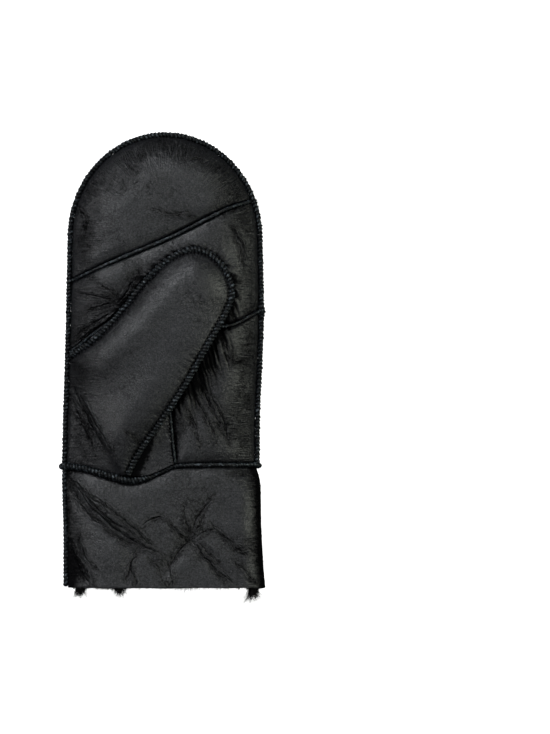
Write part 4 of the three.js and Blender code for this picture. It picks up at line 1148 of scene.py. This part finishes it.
def thumb_underside():
    """From the rim of the thumb's opening, up past the seam and out to the thumb's edge: a flange
    below the palm, then the height over it from 0.7 mm to the edge's lift by out^steep."""
    rows, columns = 320, 46
    up = palm_seam_chain(-SEAM_GAP, SEAM_GAP, SEAM_GAP, 80)
    corner = up[-1]
    back = seam_chain(middle_y, 200, -SEAM_GAP)
    back = back[(back[:, 0] < corner[0] - 0.5) & (back[:, 0] > -HALF_PALM * 0.8)][::-1]
    rim = respaced(np.concatenate([up, back]), rows)
    v = np.linspace(0, 1, rows)
    end = 0.93
    arc = np.linspace(0, 1, len(THUMB_EDGE))
    edge = np.stack([np.interp(1 - end * v, arc, THUMB_EDGE[:, k]) for k in range(3)], 1)
    foot = seam_chain(cuff_seam_y, 160, SEAM_GAP + 0.5)
    flange = 0.12
    u = np.linspace(0, 1, columns)[None, :]
    out = ramp((u - flange) / (1 - flange))
    x = mix(rim[:, :1], edge[:, :1], out)
    straight = mix(rim[:, 1:2], edge[:, 1:2], out)
    low = np.interp(x, foot[:, 0], foot[:, 1])
    y = mix(straight, low, ramp(1 - v[:, None] / 0.12) * (1 - out**3))
    steep = mix(3.5, 1.3, smooth((v[:, None] - 0.14) / 0.2))
    lifted = mix(0.7, edge[:, 2:3] - THUMB_DROP + 0.6, out**steep)
    stand = np.where(out > 0, lifted, mix(-2.0, 0.7, u / flange))
    z = palm_smooth(x, y) + stand
    relief = 0.6 * soft_relief(x, y, 91) - puckers(THUMB_RING, x, y, 2.2, 12.0, 1.2, 95) * (out > 0)
    relief -= puckers(PALM_SEAM, x, y, 2.4, 5.0, 0.7, 96) * (out > 0)
    p = laid(np.stack([x, y, z], -1)[:, ::-1], -relief[:, ::-1] * ramp(1 - out[:, ::-1]))
    # Painted shadow of the thumb's edge: darker out towards the edge.
    shade = smooth((out + 0.1 * noise(x / 1.8, y / 1.8, 97) - 0.62) / 0.2)
    marks = leather_marks(x, y, np.full(x.shape, 30.0), [THUMB_RING, PALM_SEAM], 0, shade=shade)
    marks = {m: v[:, ::-1] for m, v in marks.items()}
    return leather_sheet("thumb_under_leather", "thumb_inner", p, marks)


thumb_underside()


def back_of_hand():
    """The back's height, flat where it lies, with relief only where it turns up at its sides."""
    x, y = strip_plan(wrist_y, tip_y, 130, 160)
    side = from_side(x, y)
    open_share = ramp(1 - bottom_smooth(x, y, side) / GROOVE_DEPTH)
    z = bottom_smooth(x, y, side) + open_share * groove(y - CUFF)
    z += 0.7 * bell(side / 1.2) + 0.8 * bell((y - CUFF - SEAM_GAP) / 1.1)
    rolled = ramp(z / 3)
    relief = 0.6 * soft_relief(x, y, 131) * rolled + roll_wrinkles(x, y, side, 139) * rolled
    p = np.stack([x, y, z], -1)
    p = p - grid_normals(p) * relief[..., None]
    p[..., 2] = np.maximum(p[..., 2], 0)
    p = np.concatenate([p[:1] + [0, 0, 1.2], p])
    hem = np.array([[-HALF_PALM, CUFF], [HALF_PALM, CUFF]])
    marks = leather_marks(x, y, side, [hem], 0)
    marks = {m: np.concatenate([v[:1], v]) for m, v in marks.items()}
    return leather_sheet("back_leather", "back_panel", p, marks, flip=True)


back_of_hand()


def cuff_height(x, y, over):
    """The palm side's height or the back's, each drawn in at the cuff seam."""
    side = from_side(x, y)
    top = top_smooth(x, y, side) - groove(distance_to(CUFF_SEAM, x, y)) * ramp(side / 8)
    low = bottom_smooth(x, y, side)
    low = low + ramp(1 - low / GROOVE_DEPTH) * groove(y - CUFF)
    return np.where(over, top, low)


def cuff_strip():
    """One strip round the wrist, over the palm and under the back, moved along its normals by its
    relief, with a rounded rim at the hem and a stretch of its inner face."""
    over_columns, under_columns, rows = 310, 110, 184
    u = np.concatenate([np.linspace(0, 0.5, over_columns), np.linspace(0.5, 1, under_columns + 1)[1:]])
    over = u <= 0.5
    share = (1 - np.cos(2 * math.pi * u)) / 2
    across = mix(-1, 1, share)
    seam = np.where(over, cuff_seam_y(across) - 1.3 * SEAM_GAP, CUFF - SEAM_GAP)
    y = seam[None, :] * np.linspace(0, 1, rows)[:, None]
    x = mix(-half_width(y, "left"), half_width(y, "right"), share[None, :])
    palm_side = np.broadcast_to(over, y.shape)
    z = cuff_height(x, y, palm_side)
    near = np.where(palm_side, distance_to(CUFF_SEAM, x, y), CUFF - y)
    z = z - np.where(palm_side, 1, -1) * 1.7 * bell((near - SEAM_GAP) / 1.5)
    p = np.stack([x, y, z], -1)
    n = grid_normals(p)
    up_share = ramp(0.5 + n[..., 2])
    from_left = x + half_width(y, "left")
    creased, *creases = crease_relief("cuff", x, y)
    relief = (soft_relief(x, y, 151) + creased) * up_share * ramp(from_left / 6)
    relief -= puckers(CUFF_SEAM, x, y, 2.8, 5.0, 0.4, 161) * up_share
    from_right = half_width(y, "right") - x
    fold = ramp(1 - from_right / 16)
    relief += 0.25 * noise(y / 2.6 + noise(x / 6, y / 6, 171), z / 9, 173) * fold
    relief *= np.where(palm_side, 1, 0.4)
    wave = 0.4 * noise(u * 14, 0 * u, 181)[None, :] * (1 - smooth(y / 12))
    p = p + n * relief[..., None]
    p[..., 1] += wave
    p[..., 2] = np.maximum(p[..., 2], 0)
    n = grid_normals(p)
    # The hem's rim turns round the wall's thickness and bulges a little, and the inner face
    # follows every sixth row of the outer one, as far in as can be seen.
    wall, bulge = 1.5, 0.5
    turns = (2.5, 1.57, 0.6)
    rim = [p[0] - n[0] * wall * (1 - math.cos(a)) / 2 - [0, bulge * math.sin(a), 0] for a in turns]
    inner = (p[:90:6] - n[:90:6] * wall)[::-1]
    whole = np.concatenate([inner, np.stack(rim), p, p[-1:] - n[-1:] * 1.4])
    # The fold on the right has wrinkles of the rounded edge, the sewn left side nearly none.
    side = np.where(x > 0, 3 + half_width(y, "right") - x, 14 + 0.6 * from_left)
    # Painted shade: a band along the folded right edge, and on the palm side a thin band along the sewn
    # left side and a patch low on the left.
    low_left = 0.9 * bell(from_left / 7) * smooth((34 - y) / 26)
    shade = 0.75 * bell(from_right / 4.5)
    shade += (0.5 * bell(from_left / 2.5) + low_left) * palm_side
    marks = leather_marks(x, y, side, [CUFF_SEAM], 0, creases, shade)
    marks["edge_arc"] = y + 0 * x
    marks["crease_far"] = np.where(palm_side, marks["crease_far"], NO_CREASE)
    before = len(inner) + len(rim)
    marks = {m: np.concatenate([np.repeat(v[:1], before, 0), v, v[-1:]]) for m, v in marks.items()}
    return leather_sheet("cuff_leather", "cuff", whole, marks)


cuff_strip()


# Seams: a rope-like ridge, two leather edges with the thread wound over them.
def overcast(
    points, ups, width, height, pitch, thread, seed, swell=None, around=False, sides=14, ragged=0.1
):
    """Oval profile carried along a path, with the thread wound round it as a raised helix:
    r = 1 - thread + 2 thread |sin pi w|^1.6, w = arc / pitch + 0.8 turn / pi."""
    step = np.linalg.norm(np.diff(points, axis=0), axis=1)
    count = max(8, int(step.sum() / pitch * 9))
    arc = np.concatenate([[0], np.cumsum(step)])
    at = np.linspace(0, arc[-1], count)
    p = np.stack([np.interp(at, arc, points[:, k]) for k in range(3)], 1)
    up = np.stack([np.interp(at, arc, ups[:, k]) for k in range(3)], 1)
    wide = np.ones(count) if swell is None else np.interp(at, arc, swell)
    along = np.gradient(p, axis=0)
    if around:
        along[0] = along[-1] = p[1] - p[-2]
    along = unit(along)
    aside = unit(np.cross(along, up))
    up = np.cross(aside, along)
    turn = np.linspace(0, 2 * math.pi, sides, endpoint=False)
    drift = 0.35 * noise(at / 6, 0 * at, seed + 3)[:, None]
    wind = at[:, None] / pitch + 0.8 * turn[None, :] / math.pi + drift
    bulge = np.abs(np.sin(math.pi * wind)) ** 1.6
    uneven = 1 + ragged * noise(at[:, None] / 3.1, turn[None, :] * 1.3, seed)
    uneven = uneven + ragged * noise(at[:, None] / 0.9, turn[None, :] * 2, seed + 1)
    ends = np.ones(count) if around else ramp(np.minimum(at, arc[-1] - at) / 1.2 + 0.5)
    r = (1 - thread + 2 * thread * bulge) * uneven * (ends * wide)[:, None]
    ring = aside[:, None] * (width / 2 * np.cos(turn)[None, :] * r)[..., None]
    ring = ring + up[:, None] * (height / 2 * np.sin(turn)[None, :] * r)[..., None]
    return p[:, None] + ring, bulge, at / arc[-1]


def make_seam(name, node, points, ups, tint, **profile):
    """An overcast seam with a mark for its thread: tint + (1 - tint) smooth(1.5 bulge - 0.4). Tint
    is the least share of thread, at even steps along the seam: high where the thread lies close."""
    grid, wound, share = overcast(points, ups, **profile)
    tint = np.atleast_1d(np.array(tint, float))
    tint = np.interp(share, np.linspace(0, 1, len(tint)), tint)[:, None]
    faces = quads(grid.shape[0], grid.shape[1], True)
    marks = {"thread": tint + (1 - tint) * smooth(1.5 * wound - 0.4)}
    return make_piece(name, grid, faces, SEAM, (node,), marks)


def top_normals(points, height):
    """Unit normals of a height function, from its slopes over a small step."""
    step = 0.4
    x, y = points[:, 0], points[:, 1]
    dx = (height(x + step, y) - height(x - step, y)) / (2 * step)
    dy = (height(x, y + step) - height(x, y - step)) / (2 * step)
    return unit(np.stack([-dx, -dy, np.ones_like(dx)], 1))


def trimmed(points, start, end):
    """The path without the points that are nearer to its ends than start and end."""
    far = np.linalg.norm(points - points[0], axis=1) > start
    return points[far & (np.linalg.norm(points - points[-1], axis=1) > end)]


def palm_ridge(name, node, chain, start, end, width, seed):
    """A seam that lies in its groove across the palm."""
    plan = trimmed(respaced(chain, 400), start, end)
    z = palm_top(plan[:, 0], plan[:, 1]) - 0.15
    ups = top_normals(plan, palm_top)
    profile = {"width": width, "height": 2.5, "pitch": 1.9, "thread": 0.08, "seed": seed}
    return make_seam(name, node, np.column_stack([plan, z]), ups, 0.75, **profile)


palm_ridge("fingertip_ridge", "fingertip_seam", FINGERTIP_SEAM, 0.2, 0.2, 1.9, 201)
palm_ridge("middle_ridge", "middle_seam", MIDDLE_SEAM, 0.6, 0.0, 1.9, 207)
palm_ridge("palm_ridge", "palm_seam", PALM_SEAM, 1.2, 1.6, 1.8, 213)


def flat_left(plan):
    """Unit vectors in plan, square to the path on its left."""
    along = unit(np.gradient(plan, axis=0))
    return np.stack([-along[:, 1], along[:, 0]], 1)


def upright(path):
    """A unit vector straight up for each point of a path."""
    return np.tile([0.0, 0.0, 1.0], (len(path), 1))


def side_ridge():
    """Round the hand just outside its outline, thicker where the middle seam ends in it."""
    plan = respaced(OUTLINE[OUTLINE[:, 1] > CUFF + 0.6], 900)
    knot = bell(np.linalg.norm(plan - MIDDLE_SEAM[-1] - [0.5, 0], axis=1) / 3.2)
    plan = plan + flat_left(plan) * 1.4
    points = np.column_stack([plan, np.full(len(plan), SEAM_Z)])
    profile = {"width": 3.1, "height": 4.2, "pitch": 2.3, "thread": 0.14, "ragged": 0.2, "sides": 12}
    swell = 1 + 0.5 * knot
    make_seam("side_ridge", "side_seam", points, upright(points), 0.05, swell=swell, seed=221, **profile)
    return points


SIDE_PATH = side_ridge()


def cuff_side_ridge():
    """Up the cuff's left side, just outside it, from the hem to the cuff seam."""
    y = np.linspace(0.2, CUFF - 0.3, 60)
    points = np.column_stack([-half_width(y, "left") - 1.3, y, np.full(len(y), SEAM_Z)])
    profile = {"width": 2.9, "height": 4.0, "pitch": 2.3, "thread": 0.12, "seed": 231}
    return make_seam("cuff_side_ridge", "cuff_side_seam", points, upright(points), 0.35, **profile)


cuff_side_ridge()


def thumb_ridge():
    """Along the thumb's edge, just outside it, down to the side seam and the cuff seam."""
    plan = THUMB_RING + flat_left(THUMB_RING) * 1.15
    z = palm_smooth(THUMB_EDGE[:, 0], THUMB_EDGE[:, 1]) + THUMB_EDGE[:, 2]
    z = z - (THUMB_DROP - THUMB_LIP) / 2 + 0.5
    seam = np.interp(plan[:, 0], CUFF_SEAM[:, 0], CUFF_SEAM[:, 1])
    keep = (from_side(plan[:, 0], plan[:, 1]) > 0.4) & (plan[:, 1] - seam > 1.6)
    points = np.column_stack([plan, z])[keep]
    profile = {"width": 3.4, "height": 3.3, "pitch": 2.4, "thread": 0.17, "ragged": 0.2, "seed": 241}
    return make_seam("thumb_ridge", "thumb_seam", points, upright(points), 0.05, **profile)


thumb_ridge()


def cuff_ridge():
    """One ring: over the palm, thick where the thumb's base is sewn in, and under the back."""
    over = respaced(CUFF_SEAM, 300)
    base = 1 - smooth((over[:, 0] + 16) / 10)
    z = palm_top(over[:, 0], over[:, 1]) + 0.1 + 0.5 * base
    ups = top_normals(over, palm_top)
    top = np.column_stack([over[:, 0], over[:, 1] + 0.7 * base, z])
    x = np.linspace(over[-1, 0], over[0, 0], 200)
    low = bottom_smooth(x, np.full_like(x, CUFF))
    low = low + ramp(1 - low / GROOVE_DEPTH) * GROOVE_DEPTH
    under = np.column_stack([x, np.full_like(x, CUFF), np.maximum(low, 2.0)])
    right = np.array([[over[-1, 0] + 2.2, over[-1, 1] - 0.7, SEAM_Z]])
    left = np.array([[over[0, 0] - 2.2, over[0, 1], SEAM_Z]])
    points = np.concatenate([top, right, under, left, top[:1]])
    down = np.tile([0.0, 0.0, -1.0], (len(under), 1))
    ups = np.concatenate([ups, [[1, 0, 0]], down, [[-1, 0, 0]], ups[:1]])
    ends = bell((over[:, 0] - over[0, 0]) / 2.5)
    ends = ends + 0.7 * bell((over[:, 0] - over[-1, 0]) / 2.5)
    swell = 1 + 0.75 * base + 0.5 * ends
    swell = np.concatenate([swell, [1.7], np.ones(len(under)), [2.2], swell[:1]])
    tint = (0.05, 0.05, 0.1, 0.6, 0.6, 0.3, 0.2, 0.2, 0.1)
    profile = {"width": 2.1, "height": 2.5, "pitch": 2.1, "thread": 0.11, "swell": swell, "seed": 251}
    return make_seam("cuff_ridge", "cuff_seam", points, ups, tint, around=True, **profile)


cuff_ridge()


# Wool.
def wool_sock():
    """Rings round the hand from the tip to the hem and back in, roughened by curls. A ring is
    z = middle + half |sin turn|^0.35, where half is what the leather and the wall leave."""
    columns = 170
    turn = np.linspace(0, 2 * math.pi, columns, endpoint=False)
    over = turn <= math.pi
    share = (1 - np.cos(turn)) / 2

    def ring(y, inset, wall):
        """One ring at height y, set in from the outline, with room left for the wall."""
        full = min(y, SHOULDER)
        narrow = math.sqrt(max(0.0, 1 - (max(0.0, y - SHOULDER) / (TIP_RISE - inset)) ** 2))
        left = (inset - float(half_width(full, "left"))) * narrow
        right = (float(half_width(full, "right")) - inset * (1 - float(fold_share(y)))) * narrow
        x = mix(left, right, share)
        yy = np.full(columns, y)
        side = from_side(x, yy)
        slack = mix(0.8, 3.0, smooth(4 * y / CUFF)) * ramp(side / 6)
        dent = 1.65 * THUMB_DENT * smooth((inward(THUMB_PLAN, x, yy) + 16) / 12)
        dent = dent * ramp(side / PALM_ROLL)
        top = top_smooth(x, yy, side) - slack - dent
        back = mix(GROOVE_DEPTH, 0.8, ramp(abs(y - CUFF) / (4 * GROOVE_WIDTH)))
        low = bottom_smooth(x, yy, side) + back * ramp(side / 6)
        half = np.maximum((top - low) / 2 - wall, 1.6)
        centre = (left + right) / 2
        x = centre + (x - centre) * (1 - 0.9 * wall / ((right - left) / 2 + 1e-6))
        z = (top + low) / 2 + np.where(over, 1, -1) * half * np.abs(np.sin(turn)) ** 0.35
        return np.column_stack([x, yy, z])

    end = CUFF + HAND - 8
    skin = LEATHER + 2 * GAP
    outer = [ring(y, 4, skin) for y in np.linspace(end, 1.2, 60)]
    inner = [ring(y, 6, skin + PILE) for y in np.linspace(0.4, end - 8, 120)]
    bulge = 1.1
    rim = [mix(outer[-1], inner[0], t) - [0, bulge * math.sin(math.pi * t), 0] for t in (0.25, 0.5, 0.75)]
    p = np.stack(outer + rim + inner)
    arc = np.arange(len(p))[:, None] * 1.9
    curls = 0.55 * layered(np.cos(turn)[None, :] * 26 + 0 * arc, arc / 3.0, 401, 3)
    curls = curls + 0.3 * noise(turn[None, :] * 22, arc / 1.6, 409)
    inside = np.arange(len(p))[:, None] >= len(outer)
    p = p + grid_normals(p) * (curls * inside * 0.9)[..., None]
    faces = quads(p.shape[0], columns, True)
    return make_piece("wool_sock", p, faces[:, ::-1], WOOL, ("fur_lining",))


wool_sock()


def strands(name, roots, heads, bend, lengths, radius, steps=5):
    """Fibres: p = root + L t head + L t^2 bend, three-sided, radius falling as 1 - 0.85 t."""
    t = np.linspace(0, 1, steps)
    path = roots[:, None] + lengths[:, None, None] * (
        t[None, :, None] * heads[:, None] + (t**2)[None, :, None] * bend[:, None]
    )
    path[..., 2] = np.maximum(path[..., 2], 0.3)
    along = unit(np.gradient(path, axis=1))
    aside = unit(np.cross(along, [0.31, 0.27, 0.91]))
    other = np.cross(along, aside)
    thin = radius[:, None] * (1 - 0.85 * t)[None, :]
    ring = []
    for k in range(3):
        a = 2 * math.pi * k / 3
        ring.append(path + (aside * math.cos(a) + other * math.sin(a)) * thin[..., None])
    grid = np.stack(ring, 2)
    count = steps * 3
    one = quads(steps, 3, True)
    faces = (one[None] + (np.arange(len(roots)) * count)[:, None, None]).reshape(-1, 4)
    return make_piece(name, grid, faces, FIBRES)


def hem_wool():
    """Wool round the hem, in tufts where the lining sticks out past the leather."""
    rng = np.random.default_rng(5)
    count = 3800
    turn = rng.uniform(0, 2 * math.pi, count)
    # Each tuft's place and width as shares of the turn, its length in mm and its fibres.
    tufts = [
        (0.058, 0.03, 8.4, 900),
        (0.165, 0.018, 8.6, 420),
        (0.14, 0.07, 3.0, 620),
        (0.437, 0.024, 12.5, 600),
        (0.72, 0.05, 5.0, 200),
    ]
    lengths = rng.uniform(0.8, 2.4, count)
    lengths += np.where(turn < math.pi * 0.9, 1.3 * ramp(noise(turn * 9, 0 * turn, 5) + 0.35), 0)
    taken = 0
    for where, wide, reach, many in tufts:
        pick = slice(taken, taken + many)
        turn[pick] = 2 * math.pi * (where + rng.normal(0, wide / 2.2, many))
        away = np.abs(turn[pick] / (2 * math.pi) - where) / wide
        lengths[pick] = reach * rng.uniform(0.3, 1.0, many) * np.exp(-((1.5 * away) ** 1.3))
        taken += many
    turn = turn % (2 * math.pi)
    over = turn <= math.pi
    share = (1 - np.cos(turn)) / 2
    left, right = -float(half_width(0.0, "left")) + 4, float(half_width(0.0, "right")) - 2.6
    x = mix(left, right, share)
    y = rng.uniform(0.2, 2.0, count)
    side = from_side(x, y)
    top, low = top_smooth(x, y, side) - 3.2, bottom_smooth(x, y, side) + 3.0
    z = np.where(over, np.maximum(top, 14.0), np.minimum(low, 12.0))
    z += rng.normal(0, 0.7, count) * np.where(over, -1, 1)
    roots = np.column_stack([x, y, z])
    sway = np.clip(rng.normal(0, 0.3, count), -0.5, 0.5)
    rise = np.where(over, -0.1, 0.1) + rng.normal(0, 0.25, count)
    heads = np.column_stack([sway, np.full(count, -1.0), rise])
    curl = np.clip(rng.normal(-0.1, 0.3, count), -0.5, 0.4)
    bend = np.column_stack([curl, rng.normal(0, 0.15, count), rng.normal(-0.1, 0.3, count)])
    lengths = np.minimum(lengths, 10.5)
    roots[:, 2] = np.clip(roots[:, 2], 2.6, None)
    return strands("hem_fibres", roots, heads, bend, lengths, rng.uniform(0.12, 0.24, count))


hem_wool()


def seam_fuzz():
    """Short wool that the needle has drawn out along the side seam."""
    rng = np.random.default_rng(9)
    count = 3600
    at = rng.uniform(0, 1, count)
    thick = 0.5 + 0.5 * np.clip(2 * noise(at * 30, 0 * at, 77), -1, 1)
    steps = 2000
    path = respaced(SIDE_PATH, steps)
    i = (at * (steps - 1)).astype(int)
    upper_right = bell(np.linalg.norm(path[i, :2] - [53, 243], axis=1) / 15)
    along = unit(np.gradient(path, axis=0))
    out = np.stack([-along[:, 1], along[:, 0], 0 * along[:, 0]], 1)[i]
    roots = path[i] + out * rng.uniform(-0.3, 0.8, count)[:, None]
    roots[:, 2] += rng.normal(0, 1.2, count)
    heads = out + rng.normal(0, 0.45, (count, 3))
    bend = np.clip(rng.normal(0, 0.5, (count, 3)), -0.7, 0.7)
    lengths = rng.uniform(0.4, 1.3, count) * (0.4 + thick) + 2.3 * upper_right * rng.uniform(0, 1, count)
    return strands("seam_fibres", roots, heads, bend, lengths, rng.uniform(0.04, 0.08, count), 4)


seam_fuzz()


# Floor, backdrop, light and camera.
def stage_material(name, colour, glow):
    """A matt surface that glows evenly, so that no shadow shows on it."""
    s = Shading(name, colour, 0.9)
    white = (1, 1, 1, 1)
    s.surface({"Specular IOR Level": 0.0, "Emission Color": white, "Emission Strength": glow})
    return s.material


def stage_mesh(name, vertices, faces, material):
    """A plain mesh of the stage, which neither lights the mitten nor shows in its gloss."""
    mesh = bpy.data.meshes.new(name)
    mesh.from_pydata(vertices, [], faces)
    mesh.materials.append(material)
    made = bpy.data.objects.new(name, mesh)
    bpy.context.scene.collection.objects.link(made)
    made.visible_diffuse = False
    made.visible_glossy = False
    return made


# The floor's half width and height in metres, and its corners in turn.
reach = 9.0
floor_z = -0.0003
corners = [(-reach, -reach), (reach, -reach), (reach, reach), (-reach, reach)]
stage_mesh(
    "floor",
    [(x, y, floor_z) for x, y in corners],
    [(0, 1, 2, 3)],
    stage_material("pale_floor", (0.75, 0.75, 0.75), 1.0),
)
stage_mesh(
    "backdrop",
    [(x, y, z) for z in (-0.01, 2 * reach) for x, y in corners],
    [(0, 1, 5, 4), (1, 2, 6, 5), (2, 3, 7, 6), (3, 0, 4, 7)],
    stage_material("pale_backdrop", (0.0, 0.0, 0.0), 1.0),
)


def softbox(name, place, width, height, power, colour=(1.0, 1.0, 1.0)):
    """A rectangular light at a place in metres, turned to the mitten's middle."""
    light = bpy.data.lights.new(name, "AREA")
    light.shape = "RECTANGLE"
    light.size, light.size_y = width, height
    light.energy = power
    light.color = colour
    made = bpy.data.objects.new(name, light)
    bpy.context.scene.collection.objects.link(made)
    made.location = place
    aim = unit(np.array([0.0, 0.0, 0.02]) - np.array(place))
    made.rotation_euler = Vector(aim).to_track_quat("-Z", "Y").to_euler()
    return made


# Place and size in metres, power in watts and colour.
softbox("overhead", (0.0, 0.05, 1.55), 3.5, 3.5, 20.5, (0.95, 0.975, 1.0))
softbox("upper_left", (-0.85, 1.35, 1.28), 1.4, 0.45, 28, (0.95, 0.97, 1.0))
softbox("left", (-1.95, -0.1, 0.75), 0.8, 0.5, 10.5)
softbox("right", (1.95, 0.1, 0.95), 1.6, 0.6, 23, (0.96, 1.0, 0.86))

world = bpy.data.worlds.new("dim_room")
bpy.context.scene.world = world
world.use_nodes = True
background = world.node_tree.nodes["Background"]
background.inputs["Color"].default_value = (1, 1, 1, 1)
background.inputs["Strength"].default_value = 0.01

# The camera looks straight down on the middle of the photo's frame, from far enough off for a
# nearly flat view. The plan's origin, the middle of the hem, is at this pixel of the photo.
MM_PER_PIXEL = 0.615
FRAME_W, FRAME_H = 550, 734
HEM_PIXEL_X, HEM_PIXEL_Y = 165, 587
SENSOR = 36
distance = 6.0
level = 0.014
view_x = ((FRAME_W / 2 - HEM_PIXEL_X) * MM_PER_PIXEL + SHIFT[0]) / 1000
view_y = ((HEM_PIXEL_Y - FRAME_H / 2) * MM_PER_PIXEL + SHIFT[1]) / 1000
camera_data = bpy.data.cameras.new("camera")
camera_data.sensor_fit = "AUTO"
camera_data.sensor_width = SENSOR
camera_data.lens = SENSOR * distance / (FRAME_H * MM_PER_PIXEL / 1000)
camera_data.clip_end = 30
camera = bpy.data.objects.new("camera", camera_data)
bpy.context.scene.collection.objects.link(camera)
camera.location = (view_x, view_y, level + distance)
bpy.context.scene.camera = camera

settings = bpy.context.scene.view_settings
settings.view_transform = "Standard"
settings.look = "None"
settings.exposure = 0
settings.gamma = 1
